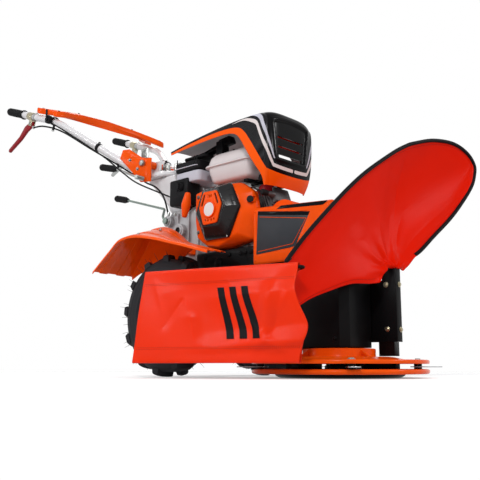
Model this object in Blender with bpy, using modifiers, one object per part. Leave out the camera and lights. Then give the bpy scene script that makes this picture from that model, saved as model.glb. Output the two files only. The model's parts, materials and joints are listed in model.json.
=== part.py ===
"""Walk-behind tractor with a front disc mower and canvas swath guards.

Units are metres. +Z is up, -Y is the mower end and +X is the machine's left side.
Pieces are drawn from the point on the ground under the wheel axle. The root empty
then moves that point, so that the world origin is the middle of the footprint.
"""
import math

import bmesh
import bpy
from mathutils import Matrix, Vector

# Frame
FRAME_X = 0.0198
FRAME_Y = -0.1482
CLEAR = 0.0003
SLEEVE_GAP = 0.0007

# Wheels
AXLE_Z = 0.2075
TYRE_R = 0.2075
TYRE_BODY_R = 0.192
TYRE_WIDTH = 0.100
TRACK_X = 0.250
RIM_R = 0.1015
BORE_R = 0.0125
LUGS_A_SIDE = 12

# Engine
CRANK_Y = -0.107
CRANK_Z = 0.575
CRANKCASE_BOTTOM = 0.4378

# Handlebar
YAW_Y = 0.300
YAW_Z = 0.800
TILT_Y = 0.335
TILT_Z = 0.842
TUBE_R = 0.0155
GRIP_R = 0.018
GRIP_LENGTH = 0.125
TUBE_ROOT = Vector((0.100, 0.352, 0.800))
TUBE_BEND = Vector((0.280, 0.719, 1.066))
TUBE_END = Vector((0.300, 1.085, 1.197))

# Mower
ROTOR_Y = -0.520
DISC_R = 0.2765
LOWER_DISC = (0.012, 0.027)
UPPER_DISC = (0.0405, 0.055)
RING_TOP = 0.0895
SHEET = 0.004
PIN_R = 0.248
PIN_START_ANGLE = -47.0
KNIFE_Z = 0.0320
KNIFE_THICKNESS = 0.003
HOUSING_Z = (0.0925, 0.325)

# Canvas guards
CANVAS = 0.0024
HOOP_ROD_R = 0.005
HOOP_AXIS = Vector((0.9695, -0.2451, 0.0))
HOOP_ORIGIN = Vector((0.0, -0.656, 0.0))
CURTAIN_FRONT = Vector((-0.330, -0.622, 0.0))
CURTAIN_REAR = Vector((-0.482, -0.140, 0.0))
CURTAIN_TOP = 0.322
CURTAIN_BOTTOM = 0.045

COLOURS = {
    "orange": ((0.90, 0.130, 0.010, 1), 0.32, 0.0),
    "red": ((0.42, 0.010, 0.012, 1), 0.42, 0.0),
    "canvas": ((0.86, 0.045, 0.012, 1), 0.45, 0.0),
    "black": ((0.012, 0.012, 0.013, 1), 0.35, 0.0),
    "rubber": ((0.015, 0.015, 0.016, 1), 0.80, 0.0),
    "white": ((0.78, 0.76, 0.74, 1), 0.30, 0.0),
    "tank": ((0.80, 0.74, 0.71, 1), 0.28, 0.0),
    "grey": ((0.42, 0.42, 0.44, 1), 0.40, 0.0),
    "alloy": ((0.52, 0.52, 0.53, 1), 0.48, 0.8),
    "zinc": ((0.60, 0.62, 0.62, 1), 0.30, 1.0),
    "steel": ((0.45, 0.45, 0.46, 1), 0.30, 1.0),
}


def clear_scene():
    """Remove what the start-up file holds."""
    for item in list(bpy.data.objects):
        bpy.data.objects.remove(item, do_unlink=True)


clear_scene()
PARTS = bpy.data.collections.new("walk_behind_mower")
CUTTERS = bpy.data.collections.new("cutters")
bpy.context.scene.collection.children.link(PARTS)
bpy.context.scene.collection.children.link(CUTTERS)


def empty(name, at, parent=None):
    """Add a pivot at a place given in the tractor's own frame."""
    pivot = bpy.data.objects.new(name, None)
    pivot.empty_display_size = 0.05
    pivot["place"] = list(at)
    PARTS.objects.link(pivot)
    pivot.parent = parent
    pivot.location = Vector(at) - Vector(parent["place"] if parent else (0, 0, 0))
    return pivot


ROOT = empty("machine_root", (0, 0, 0))
ROOT.location = (FRAME_X, FRAME_Y, 0)
YAW = empty("yaw_pivot", (0, YAW_Y, YAW_Z), ROOT)
TILT = empty("tilt_pivot", (0, TILT_Y, TILT_Z), YAW)


def material(name, look):
    """Return a Principled material with the colour, roughness and metallic value of a finish."""
    colour, roughness, metallic = COLOURS[look]
    mat = bpy.data.materials.new(name)
    mat.use_nodes = True
    shader = mat.node_tree.nodes["Principled BSDF"]
    shader.inputs["Base Color"].default_value = colour
    shader.inputs["Roughness"].default_value = roughness
    shader.inputs["Metallic"].default_value = metallic
    mat.diffuse_color = colour
    return mat


def place(obj, look, at=(0, 0, 0), parent=ROOT, smooth=35):
    """Give a finished shape its material and put its origin at a point of the tractor's frame."""
    at = Vector(at)
    obj.data.transform(Matrix.Translation(-at))
    for own in [m for m in obj.modifiers if m.type == "BOOLEAN"]:
        own.object.parent = parent
        own.object.location = -Vector(parent["place"])
    obj.parent = parent
    obj.location = at - Vector(parent["place"])
    obj.data.materials.clear()
    obj.data.materials.append(material(obj.name + "_finish", look))
    if smooth and obj.type == "MESH":
        obj.data.shade_smooth()
        obj.data.set_sharp_from_angle(angle=math.radians(smooth))
    return obj


def from_bmesh(name, bm, keep=True):
    """Turn a bmesh into an object with its faces pointing out."""
    bmesh.ops.recalc_face_normals(bm, faces=bm.faces)
    mesh = bpy.data.meshes.new(name)
    bm.to_mesh(mesh)
    bm.free()
    obj = bpy.data.objects.new(name, mesh)
    (PARTS if keep else CUTTERS).objects.link(obj)
    return obj


def add_box(bm, low, high, turn=None):
    """Add a box between two corners, with an optional matrix that turns it."""
    low, high = Vector(low), Vector(high)
    size = high - low
    matrix = Matrix.Translation((low + high) / 2) @ Matrix.Diagonal((*size, 1))
    bmesh.ops.create_cube(bm, size=1, matrix=(turn or Matrix()) @ matrix)


def aim(start, direction):
    """Return the matrix that puts +Z along a direction at a point."""
    return Matrix.Translation(start) @ Vector(direction).to_track_quat("Z", "Y").to_matrix().to_4x4()


def add_rod(bm, start, end, radius, sides=16):
    """Add a capped cylinder between two points."""
    start, end = Vector(start), Vector(end)
    bmesh.ops.create_cone(bm, cap_ends=True, segments=sides, radius1=radius, radius2=radius,
                          depth=(end - start).length, matrix=aim((start + end) / 2, end - start))


def rods(name, ends, radius, sides=16, keep=True):
    """Make one object of several capped rods, each given as a start and an end."""
    bm = bmesh.new()
    for start, end in ends:
        add_rod(bm, start, end, radius, sides)
    return from_bmesh(name, bm, keep)


def box(name, low, high, bevel=0.0, segments=2, keep=True, turn=None):
    """Make a box between two corners with rounded edges."""
    bm = bmesh.new()
    add_box(bm, low, high, turn)
    obj = from_bmesh(name, bm, keep)
    if bevel:
        round_edges(obj, bevel, segments)
    return obj


def round_edges(obj, width, segments=2, angle=40):
    """Round every edge sharper than an angle."""
    bevel = obj.modifiers.new("rounded_edges", "BEVEL")
    bevel.width = width
    bevel.segments = segments
    bevel.limit_method = "ANGLE"
    bevel.angle_limit = math.radians(angle)
    bevel.use_clamp_overlap = True


def boolean(obj, other, operation):
    """Join or cut with another shape, which becomes a hidden guide."""
    for collection in list(other.users_collection):
        collection.objects.unlink(other)
    CUTTERS.objects.link(other)
    other.hide_render = True
    other.display_type = "WIRE"
    step = obj.modifiers.new(operation.lower(), "BOOLEAN")
    step.operation = operation
    step.solver = "EXACT"
    step.object = other
    return obj


def cut(obj, other):
    """Cut a shape away."""
    return boolean(obj, other, "DIFFERENCE")


def fuse(obj, other):
    """Weld a shape on."""
    return boolean(obj, other, "UNION")


def turned(name, profile, at=(0, 0, 0), axis=(0, 0, 1), steps=32, closed=False, keep=True):
    """Turn a profile of (radius, height) points, outer side from top to bottom, about an axis."""
    bm = bmesh.new()
    rings = [bm.verts.new((radius, 0, height)) for radius, height in profile]
    pairs = list(zip(rings, rings[1:])) + ([(rings[-1], rings[0])] if closed else [])
    for first, second in pairs:
        bm.edges.new((first, second))
    bmesh.ops.spin(bm, geom=bm.verts[:] + bm.edges[:], cent=(0, 0, 0), axis=(0, 0, 1),
                   angle=math.tau, steps=steps, use_merge=True)
    bmesh.ops.remove_doubles(bm, verts=bm.verts, dist=0.00001)
    bmesh.ops.transform(bm, matrix=aim(at, axis), verts=bm.verts)
    return from_bmesh(name, bm, keep)


PLANES = {
    "X": Matrix(((0, 0, 1, 0), (1, 0, 0, 0), (0, 1, 0, 0), (0, 0, 0, 1))),
    "Y": Matrix(((1, 0, 0, 0), (0, 0, -1, 0), (0, 1, 0, 0), (0, 0, 0, 1))),
    "Z": Matrix(),
}


def as_mesh(curve_object, matrix):
    """Replace a curve object by its welded mesh, moved by a matrix."""
    graph = bpy.context.evaluated_depsgraph_get()
    mesh = bpy.data.meshes.new_from_object(curve_object.evaluated_get(graph))
    name, collection = curve_object.name, curve_object.users_collection[0]
    bpy.data.objects.remove(curve_object, do_unlink=True)
    bm = bmesh.new()
    bm.from_mesh(mesh)
    bmesh.ops.remove_doubles(bm, verts=bm.verts, dist=0.00002)
    bmesh.ops.transform(bm, matrix=matrix, verts=bm.verts)
    obj = from_bmesh(name, bm)
    if collection is not PARTS:
        PARTS.objects.unlink(obj)
        collection.objects.link(obj)
    return obj


def plate(name, outline, thickness, plane, offset=0.0, holes=(), keep=True):
    """Make a flat plate from an outline in the plane across X, Y or Z, at an offset along it."""
    curve = bpy.data.curves.new(name, "CURVE")
    curve.dimensions = "2D"
    curve.fill_mode = "BOTH"
    curve.extrude = thickness / 2
    for loop in (outline, *holes):
        spline = curve.splines.new("POLY")
        spline.points.add(len(loop) - 1)
        for point, (u, v) in zip(spline.points, loop):
            point.co = (u, v, 0, 1)
        spline.use_cyclic_u = True
    obj = bpy.data.objects.new(name, curve)
    (PARTS if keep else CUTTERS).objects.link(obj)
    shift = {"X": (offset, 0, 0), "Y": (0, offset, 0), "Z": (0, 0, offset)}[plane]
    return as_mesh(obj, Matrix.Translation(shift) @ PLANES[plane])


def ring_points(centre, radius, count, start=0.0):
    """Return the corners of a regular polygon in a plane."""
    return [(centre[0] + radius * math.cos(start + math.tau * i / count),
             centre[1] + radius * math.sin(start + math.tau * i / count)) for i in range(count)]


def rounded_route(points, radius, steps=5):
    """Return a route with each inner corner replaced by an arc-like curve."""
    points = [Vector(p) for p in points]
    route = [points[0]]
    for before, corner, after in zip(points, points[1:], points[2:]):
        reach = min(radius, (corner - before).length / 2.1, (after - corner).length / 2.1)
        first = corner + (before - corner).normalized() * reach
        last = corner + (after - corner).normalized() * reach
        for i in range(steps + 1):
            t = i / steps
            route.append(first * (1 - t) ** 2 + corner * 2 * t * (1 - t) + last * t ** 2)
    return route + [points[-1]]


def smooth_route(points, per_span=4):
    """Return points of a Catmull-Rom curve through the given ones."""
    points = [Vector(p) for p in points]
    padded = [points[0] * 2 - points[1], *points, points[-1] * 2 - points[-2]]
    route = []
    for a, b, c, d in zip(padded, padded[1:], padded[2:], padded[3:]):
        for i in range(per_span):
            t = i / per_span
            route.append(0.5 * ((2 * b) + (c - a) * t + (2 * a - 5 * b + 4 * c - d) * t * t
                                + (3 * b - a - 3 * c + d) * t ** 3))
    return route + [points[-1]]


def tube(name, route, radius, resolution=3, keep=True):
    """Make a round bar along a route."""
    curve = bpy.data.curves.new(name, "CURVE")
    curve.dimensions = "3D"
    curve.bevel_depth = radius
    curve.bevel_resolution = resolution
    curve.use_fill_caps = True
    spline = curve.splines.new("POLY")
    spline.points.add(len(route) - 1)
    for point, place_at in zip(spline.points, route):
        point.co = (*place_at, 1)
    obj = bpy.data.objects.new(name, curve)
    (PARTS if keep else CUTTERS).objects.link(obj)
    return as_mesh(obj, Matrix())


def loft(name, sections, keep=True):
    """Skin closed sections that have the same number of points and cap both ends."""
    bm = bmesh.new()
    rows = [[bm.verts.new(p) for p in section] for section in sections]
    count = len(rows[0])
    for row, following in zip(rows, rows[1:]):
        for i in range(count):
            j = (i + 1) % count
            bm.faces.new((row[i], row[j], following[j], following[i]))
    bm.faces.new(rows[0])
    bm.faces.new(rows[-1])
    return from_bmesh(name, bm, keep)


def sheet(name, rows, thickness):
    """Make a shell from an open grid of points and thicken it."""
    bm = bmesh.new()
    grid = [[bm.verts.new(p) for p in row] for row in rows]
    for row, following in zip(grid, grid[1:]):
        for i in range(len(row) - 1):
            bm.faces.new((row[i], row[i + 1], following[i + 1], following[i]))
    obj = from_bmesh(name, bm)
    shell = obj.modifiers.new("thickness", "SOLIDIFY")
    shell.thickness = thickness
    shell.offset = 0.0
    shell.use_even_offset = True
    return obj


def mirrored(points):
    """Return points on the other side of the machine's middle plane."""
    return [Vector((-p[0], p[1], p[2])) for p in map(Vector, points)]


# Wheels


def lug(bm, side, angle):
    """Add one tread bar that runs from the middle of the tread to the shoulder."""
    stations = ((-0.006, 0.0, 0.0), (0.0475, 0.115, -0.007))
    half_width = (0.0085, 0.0105)
    rows = []
    for (across, lag, drop), half in zip(stations, half_width):
        turn = angle + lag
        row = []
        for sign, radius in ((-1, TYRE_BODY_R - 0.012 + drop), (1, TYRE_BODY_R - 0.012 + drop),
                             (0.62, TYRE_R - 0.0004 + drop), (-0.62, TYRE_R - 0.0004 + drop)):
            spot = turn + sign * half / TYRE_R
            row.append(bm.verts.new((side * across, radius * math.cos(spot), radius * math.sin(spot))))
        rows.append(row)
    for row, following in zip(rows, rows[1:]):
        for i in range(4):
            j = (i + 1) % 4
            bm.faces.new((row[i], row[j], following[j], following[i]))
    bm.faces.new(rows[0])
    bm.faces.new(rows[-1])


def make_tyre(name, x):
    """Make a tractor tyre with alternating slanted lugs."""
    half = TYRE_WIDTH / 2
    profile = [(RIM_R + 0.004, half - 0.016), (RIM_R + 0.032, half), (TYRE_BODY_R - 0.016, half - 0.004),
               (TYRE_BODY_R, half - 0.020)]
    profile += [(radius, -height) for radius, height in reversed(profile)]
    profile += [(RIM_R + CLEAR, -half + 0.016), (RIM_R + CLEAR, half - 0.016)]
    tyre = turned(name, profile, (0, 0, 0), (1, 0, 0), 24, closed=True)
    bm = bmesh.new()
    for side in (-1, 1):
        for i in range(LUGS_A_SIDE):
            offset = 0.5 if side > 0 else 0.0
            lug(bm, side, math.tau * (i + offset) / LUGS_A_SIDE)
    lugs = from_bmesh(name + "_lugs", bm, keep=False)
    for shape in (tyre, lugs):
        shape.data.transform(Matrix.Translation((x, 0, AXLE_Z)))
    fuse(tyre, lugs)
    return place(tyre, "rubber", (x, 0, AXLE_Z))


def make_rim(name, x, side):
    """Make a pressed steel rim with its hub tube and four holes for the wheel bolts."""
    half = TYRE_WIDTH / 2 - 0.0125
    wall = 0.004
    profile = [(0.026, 0.052), (0.026, 0.014), (0.078, 0.006), (RIM_R - wall, 0.016), (RIM_R - wall, half),
               (RIM_R + 0.009, half + 0.004), (RIM_R, half - 0.002), (RIM_R, -half + 0.002),
               (RIM_R + 0.009, -half - 0.004), (RIM_R - wall, -half), (RIM_R - wall, 0.010), (0.078, 0.0),
               (0.026, 0.006), (0.026, -0.080), (BORE_R, -0.080), (BORE_R, 0.052)]
    rim = turned(name, profile, (x, 0, AXLE_Z), (side, 0, 0), 24, closed=True)
    holes = []
    for y, z in ring_points((0, AXLE_Z), 0.055, 4, math.radians(45)):
        holes.append(((x - 0.03, y, z), (x + 0.03, y, z)))
    cut(rim, rods(name + "_holes", holes, 0.006, 6, keep=False))
    return place(rim, "white", (x, 0, AXLE_Z))


def make_wheels():
    """Make the axle and both wheels."""
    axle = rods("axle_shaft", [((-TRACK_X - 0.050, 0, AXLE_Z), (TRACK_X + 0.050, 0, AXLE_Z))],
                BORE_R - CLEAR, 12)
    place(axle, "steel", (0, 0, AXLE_Z))
    for name, side in (("right", -1), ("left", 1)):
        make_tyre("tyre_" + name, side * TRACK_X)
        make_rim("rim_" + name, side * TRACK_X, side)


# Transmission and frame


def make_gearcase():
    """Make the cast gearcase with its ribs, bearing bosses and front output flange."""
    outline = [(-0.190, 0.160), (-0.190, 0.300), (-0.165, 0.345), (0.030, 0.345), (0.030, 0.590),
               (0.062, 0.632), (0.215, 0.632), (0.246, 0.600), (0.246, 0.560), (0.150, 0.240),
               (0.085, 0.130), (-0.080, 0.130)]
    case = plate("gearcase", outline, 0.132, "X")
    round_edges(case, 0.010, 1)
    bm = bmesh.new()
    for y, low, high in ((-0.140, 0.150, 0.335), (-0.095, 0.150, 0.335), (0.056, 0.330, 0.600),
                         (0.108, 0.480, 0.615), (0.170, 0.480, 0.615)):
        add_box(bm, (-0.073, y - 0.0035, low), (0.073, y + 0.0035, high))
    fuse(case, from_bmesh("gearcase_ribs", bm, keep=False))
    bosses = rods("gearcase_bosses", [((-0.098, 0, AXLE_Z), (0.098, 0, AXLE_Z))], 0.056, 16, False)
    fuse(case, bosses)
    bm = bmesh.new()
    for y, z, radius in ((0.078, 0.405, 0.034), (0.150, 0.545, 0.028), (0.215, 0.590, 0.022)):
        add_rod(bm, (-0.086, y, z), (0.086, y, z), radius, 12)
    fuse(case, from_bmesh("gearcase_caps", bm, keep=False))
    flange = rods("gearcase_flange", [((0, -0.212, 0.205), (0, -0.150, 0.205))], 0.058, 20, False)
    fuse(case, flange)
    cut(case, rods("gearcase_bore", [((-0.2, 0, AXLE_Z), (0.2, 0, AXLE_Z))], BORE_R + SLEEVE_GAP, 12, False))
    return place(case, "alloy")


def make_engine_frame():
    """Make the black welded carrier between the engine and the gearcase."""
    frame = box("engine_frame", (-0.115, -0.262, 0.3458), (0.115, 0.0185, 0.4374), 0.006, 2)
    bm = bmesh.new()
    add_box(bm, (-0.105, -0.30, 0.30), (0.105, -0.190, 0.425))
    frame = cut(frame, from_bmesh("engine_frame_front_gap", bm, keep=False))
    bm = bmesh.new()
    for low, high in ((-0.108, -0.004), (0.004, 0.108)):
        add_box(bm, (low, -0.176, 0.300), (high, 0.010, 0.430))
    frame = cut(frame, from_bmesh("engine_frame_hollows", bm, keep=False))
    bm = bmesh.new()
    for y in (-0.225, -0.150, -0.030):
        add_rod(bm, (-0.121, y, 0.418), (-0.112, y, 0.418), 0.008, 6)
        add_rod(bm, (-0.121, y, 0.366), (-0.112, y, 0.366), 0.008, 6)
        add_rod(bm, (0.112, y, 0.418), (0.121, y, 0.418), 0.008, 6)
    fuse(frame, from_bmesh("engine_frame_bolts", bm, keep=False))
    return place(frame, "black")


# Engine


def make_crankcase():
    """Make the engine block with its foot, side cover and output housing."""
    block = plate("crankcase", [(-0.205, 0.452), (-0.205, 0.560), (-0.170, 0.640), (-0.060, 0.665),
                                (0.010, 0.640), (0.026, 0.560), (0.026, 0.452)], 0.150, "X", 0.001)
    round_edges(block, 0.008, 2)
    foot = box("crankcase_foot", (-0.068, -0.222, CRANKCASE_BOTTOM), (0.088, 0.026, 0.462), keep=False)
    fuse(block, foot)
    cover = rods("crankcase_side", [((0.060, CRANK_Y, CRANK_Z - 0.02), (0.112, CRANK_Y, CRANK_Z - 0.02))],
                 0.092, 24, False)
    fuse(block, cover)
    output = rods("crankcase_output", [((0.100, CRANK_Y, CRANK_Z), (0.150, CRANK_Y, CRANK_Z))],
                  0.052, 20, False)
    fuse(block, output)
    return place(block, "alloy")


def make_cylinder_head():
    """Make the finned barrel and its valve cover, which lean towards the mower."""
    lean = Matrix.Translation((0, CRANK_Y, CRANK_Z)) @ Matrix.Rotation(math.radians(-20), 4, "X")
    head = box("cylinder_head", (-0.050, -0.178, -0.052), (0.052, -0.104, 0.018), turn=lean)
    bm = bmesh.new()
    for i in range(6):
        y = -0.116 - 0.0105 * i
        add_box(bm, (-0.058, y - 0.0022, -0.060), (0.060, y + 0.0022, 0.028), lean)
    fuse(head, from_bmesh("cylinder_fins", bm, keep=False))
    cover = box("valve_cover", (-0.042, -0.196, -0.046), (0.044, -0.170, 0.012), 0.006, 2, False, lean)
    fuse(head, cover)
    start, end = lean @ Vector((-0.040, -0.186, -0.018)), lean @ Vector((-0.084, -0.186, -0.018))
    profile = [(0.0, 0.044), (0.008, 0.042), (0.009, 0.018), (0.012, 0.014), (0.012, 0.0), (0.0, 0.0)]
    fuse(head, turned("spark_plug", profile, start, end - start, 12, keep=False))
    return place(head, "alloy", smooth=0)


SHROUD_FACE = ((0.004, 0.552), (0.004, 0.655), (-0.070, 0.668), (-0.172, 0.662), (-0.205, 0.622),
               (-0.222, 0.560), (-0.205, 0.484), (-0.109, 0.446), (-0.055, 0.458), (-0.006, 0.492))
SHROUD_BASE = ((0.016, 0.552), (0.016, 0.662), (-0.070, 0.680), (-0.190, 0.672), (-0.252, 0.630),
               (-0.264, 0.558), (-0.250, 0.462), (-0.140, 0.4415), (-0.050, 0.446), (0.002, 0.480))


def make_fan_shroud():
    """Make the orange fan housing, which widens towards the block."""
    sections = [[(x, y, z) for y, z in outline]
                for x, outline in ((-0.0745, SHROUD_BASE), (-0.100, SHROUD_BASE), (-0.135, SHROUD_FACE))]
    shroud = loft("fan_shroud", sections)
    round_edges(shroud, 0.006, 2, 30)
    return place(shroud, "orange")


RECOIL = ((0.066, 0.030), (0.040, 0.080), (-0.040, 0.080), (-0.066, 0.030), (-0.046, -0.083),
          (0.046, -0.083))


def recoil_outline(grow):
    """Return the recoil cover's six-sided outline about the crank, made larger by a margin."""
    points = []
    for y, z in RECOIL:
        scale = 1 + grow / math.hypot(y, z)
        points.append((CRANK_Y + y * scale, CRANK_Z + z * scale))
    return points


def make_recoil_cover():
    """Make the black six-sided starter cover with its rows of air slots."""
    sections = [[(x, y, z) for y, z in recoil_outline(grow)]
                for x, grow in ((-0.1353, 0.030), (-0.143, 0.028), (-0.172, 0.004), (-0.176, 0.0))]
    cover = loft("recoil_cover", sections)
    bm = bmesh.new()
    outline = recoil_outline(-0.004)
    for (y0, z0), (y1, z1) in zip(outline, outline[1:] + outline[:1]):
        side = Vector((0, y1 - y0, z1 - z0))
        count = max(2, int((side.length - 0.020) / 0.016))
        inward = Vector((0, CRANK_Y, CRANK_Z)) - (Vector((0, y0, z0)) + side / 2)
        inward.normalize()
        turn = Matrix((((1, 0, 0, 0)), (0, side.normalized().y, inward.y, 0),
                       (0, side.normalized().z, inward.z, 0), (0, 0, 0, 1)))
        for i in range(count):
            step = (i + 0.5) / count * (1 - 0.018 / side.length) + 0.009 / side.length
            spot = Vector((0, y0, z0)) + side * step + inward * 0.007
            add_box(bm, (-0.190, -0.0048, -0.0030), (-0.168, 0.0048, 0.0030),
                    Matrix.Translation(spot) @ turn)
    cut(cover, from_bmesh("recoil_slots", bm, keep=False))
    return place(cover, "black", smooth=0)


def make_recoil_plate():
    """Make the raised orange centre plate with its pattern of slots and its round boss."""
    outer = recoil_outline(-0.020)
    slots = []
    for angle in (60, 90, 120):
        centre = (CRANK_Y + 0.042 * math.cos(math.radians(angle)),
                  CRANK_Z + 0.004 + 0.042 * math.sin(math.radians(angle)))
        slots.append(ring_points(centre, 0.0065, 6))
    for y in (-0.024, 0.024):
        slots.append([(CRANK_Y + y - 0.004, 0.515), (CRANK_Y + y + 0.004, 0.515),
                      (CRANK_Y + y * 1.1 + 0.004, 0.540), (CRANK_Y + y * 1.1 - 0.004, 0.540)])
    face = plate("recoil_plate", outer, 0.0050, "X", -0.1788, slots)
    boss = rods("recoil_boss", [((-0.186, CRANK_Y, CRANK_Z), (-0.178, CRANK_Y, CRANK_Z))], 0.0285, 28, False)
    fuse(face, boss)
    return place(face, "orange")


STARTER_DIRECTION = Vector((-0.30, 0.72, 0.62)).normalized()
STARTER_HOME = Vector((-0.150, 0.030, 0.612))


def make_starter_grip():
    """Make the orange pull handle with the end of its rope."""
    across = Vector((-0.35, 0.55, -0.76)).cross(STARTER_DIRECTION).normalized()
    upright = STARTER_DIRECTION.cross(across).normalized()
    bm = bmesh.new()
    middle = STARTER_HOME + STARTER_DIRECTION * 0.016
    add_rod(bm, middle - upright * 0.050, middle + upright * 0.050, 0.0125, 12)
    grip = from_bmesh("starter_grip", bm)
    round_edges(grip, 0.006, 2)
    stem = rods("starter_stem", [(STARTER_HOME - STARTER_DIRECTION * 0.004, middle)], 0.0075, 10, False)
    fuse(grip, stem)
    return place(grip, "orange", STARTER_HOME)


def make_fuel_tank():
    """Make the pressed tank of two halves joined at a rolled seam."""
    corner = 0.030

    def ring(z, half_x, low_y, high_y):
        points = []
        for cx, cy, start in ((half_x, high_y, 0), (-half_x, high_y, 90), (-half_x, low_y, 180),
                              (half_x, low_y, 270)):
            for i in range(4):
                turn = math.radians(start + 30 * i)
                inset_x, inset_y = math.copysign(corner, cx), corner if cy == high_y else -corner
                points.append((cx - inset_x + corner * math.cos(turn),
                               cy - inset_y + corner * math.sin(turn), z))
        return points
    levels = ((0.6905, 0.080, -0.215, -0.040), (0.700, 0.094, -0.226, -0.028), (0.7525, 0.102, -0.234, -0.014),
              (0.7530, 0.110, -0.242, -0.004), (0.7600, 0.110, -0.242, -0.004),
              (0.7605, 0.102, -0.234, -0.012), (0.790, 0.096, -0.226, -0.020),
              (0.806, 0.080, -0.208, -0.038), (0.811, 0.050, -0.180, -0.066))
    tank = loft("fuel_tank", [ring(*level) for level in levels])
    neck = rods("tank_neck", [((0.020, -0.120, 0.800), (0.020, -0.120, 0.8180))], 0.020, 20, False)
    fuse(tank, neck)
    return place(tank, "tank", smooth=50)


def make_tank_cap():
    """Make the ribbed filler cap on the tank's neck."""
    profile = [(0.0, 0.0125), (0.024, 0.0125), (0.027, 0.009), (0.027, 0.0), (0.0, 0.0)]
    cap = turned("tank_cap", profile, (0.020, -0.120, 0.8183), (0, 0, 1), 24)
    return place(cap, "black", (0.020, -0.120, 0.8183))


def make_air_filter():
    """Make the grey tray and the black lid of the air filter."""
    base = box("air_filter_base", (-0.113, 0.016, 0.7370), (0.012, 0.202, 0.7800), 0.014, 2)
    place(base, "grey")
    lid = box("air_filter_cover", (-0.117, 0.012, 0.7803), (0.016, 0.206, 0.8260), 0.012, 2)
    bm = bmesh.new()
    add_box(bm, (-0.121, 0.100, 0.790), (-0.115, 0.116, 0.812))
    fuse(lid, from_bmesh("air_filter_clip", bm, keep=False))
    place(lid, "black")


def make_carburettor():
    """Make the carburettor with its bowl and its inlet elbow."""
    body = rods("carburettor", [((-0.010, 0.0266, 0.6560), (-0.010, 0.100, 0.6560))], 0.0210, 16)
    bowl = rods("carburettor_bowl", [((-0.010, 0.062, 0.6335), (-0.010, 0.062, 0.650))], 0.019, 16, False)
    throat = box("filter_elbow", (-0.038, 0.072, 0.6335), (0.018, 0.128, 0.7367), keep=False)
    fuse(body, bowl)
    fuse(body, throat)
    return place(body, "grey")


def make_choke_lever():
    """Make the small choke lever on the carburettor's outer side."""
    pivot = (-0.0385, 0.100, 0.700)
    lever = rods("choke_lever", [((-0.0465, 0.100, 0.700), pivot)], 0.008, 12)
    arm = box("choke_arm", (-0.0465, 0.096, 0.698), (-0.0425, 0.104, 0.732), keep=False)
    fuse(lever, arm)
    return place(lever, "black", pivot)


def make_muffler():
    """Make the black exhaust box above the head with its pipe and outlet."""
    body = box("muffler", (-0.020, -0.236, 0.6780), (0.094, -0.160, 0.6885), 0.004, 1)
    pipe = tube("exhaust_pipe", rounded_route([(0.060, -0.228, 0.6815), (0.060, -0.262, 0.6815),
                                               (-0.030, -0.270, 0.6815), (-0.078, -0.262, 0.6815)],
                                              0.02), 0.0130, 2, keep=False)
    fuse(body, pipe)
    return place(body, "black")


def make_switch_box():
    """Make the control box beside the recoil cover."""
    case = box("switch_box", (-0.122, 0.064, 0.6335), (-0.052, 0.166, 0.7350), 0.008, 2)
    cut(case, box("switch_recess", (-0.130, 0.084, 0.684), (-0.1185, 0.120, 0.720), keep=False))
    place(case, "black")
    pivot = (-0.1188, 0.102, 0.702)
    rocker = rods("engine_switch", [((-0.1265, 0.102, 0.702), pivot)], 0.0125, 16)
    key = box("switch_key", (-0.136, 0.0995, 0.691), (-0.1260, 0.1045, 0.713), keep=False)
    fuse(rocker, key)
    place(rocker, "red", pivot)


# Hood and nose

HOOD_HALF = 0.130


def hood_section(top, shoulder_drop, skirt, half, crown):
    """Return one cross-section of the hood, from one skirt edge over the crown to the other."""
    ty, tz = top
    sy, sz = skirt
    normal = Vector((0, ty - sy, tz - sz)).normalized()
    back = -normal * shoulder_drop
    right = [Vector((-half, sy, sz)), Vector((-half, ty, tz)) + back,
             Vector((-half + 0.012, ty, tz)), Vector((-half * 0.45, ty, tz)) + normal * crown * 0.8,
             Vector((0, ty, tz)) + normal * crown]
    return right + mirrored(reversed(right[:-1]))


def make_hood():
    """Make the hood shell: a crowned top that turns down into a slotted front."""
    stations = (((0.138, 0.838), 0.004, (0.137, 0.827), 0.118, 0.006),
                ((0.060, 0.851), 0.008, (0.062, 0.832), 0.128, 0.009),
                ((-0.060, 0.868), 0.010, (-0.056, 0.840), HOOD_HALF, 0.012),
                ((-0.180, 0.886), 0.012, (-0.158, 0.851), HOOD_HALF, 0.014),
                ((-0.262, 0.893), 0.014, (-0.206, 0.836), HOOD_HALF, 0.015),
                ((-0.308, 0.872), 0.014, (-0.236, 0.790), HOOD_HALF, 0.015),
                ((-0.326, 0.810), 0.014, (-0.258, 0.740), HOOD_HALF, 0.014),
                ((-0.326, 0.730), 0.014, (-0.280, 0.690), HOOD_HALF, 0.012),
                ((-0.318, 0.672), 0.012, (-0.290, 0.655), HOOD_HALF - 0.004, 0.010),
                ((-0.306, 0.636), 0.008, (-0.293, 0.634), HOOD_HALF - 0.010, 0.008))
    hood = sheet("hood", [hood_section(*station) for station in stations], 0.003)
    slots = bmesh.new()
    for z, half in ((0.806, 0.078), (0.776, 0.074), (0.744, 0.070)):
        add_box(slots, (-half, -0.40, z - 0.0055), (half, -0.30, z + 0.0055))
    cut(hood, from_bmesh("hood_slots", slots, keep=False))
    return place(hood, "black", smooth=50)


def make_hood_bracket():
    """Make the black stay that carries the hood above the tank."""
    stay = plate("hood_bracket", [(0.085, 0.8263), (0.025, 0.8263), (-0.030, 0.8400), (-0.100, 0.8480),
                                  (-0.100, 0.8560), (-0.092, 0.8760), (-0.040, 0.8700), (-0.032, 0.8540),
                                  (0.040, 0.8380), (0.085, 0.8350)], 0.030, "X", -0.045)
    return place(stay, "black")


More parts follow.
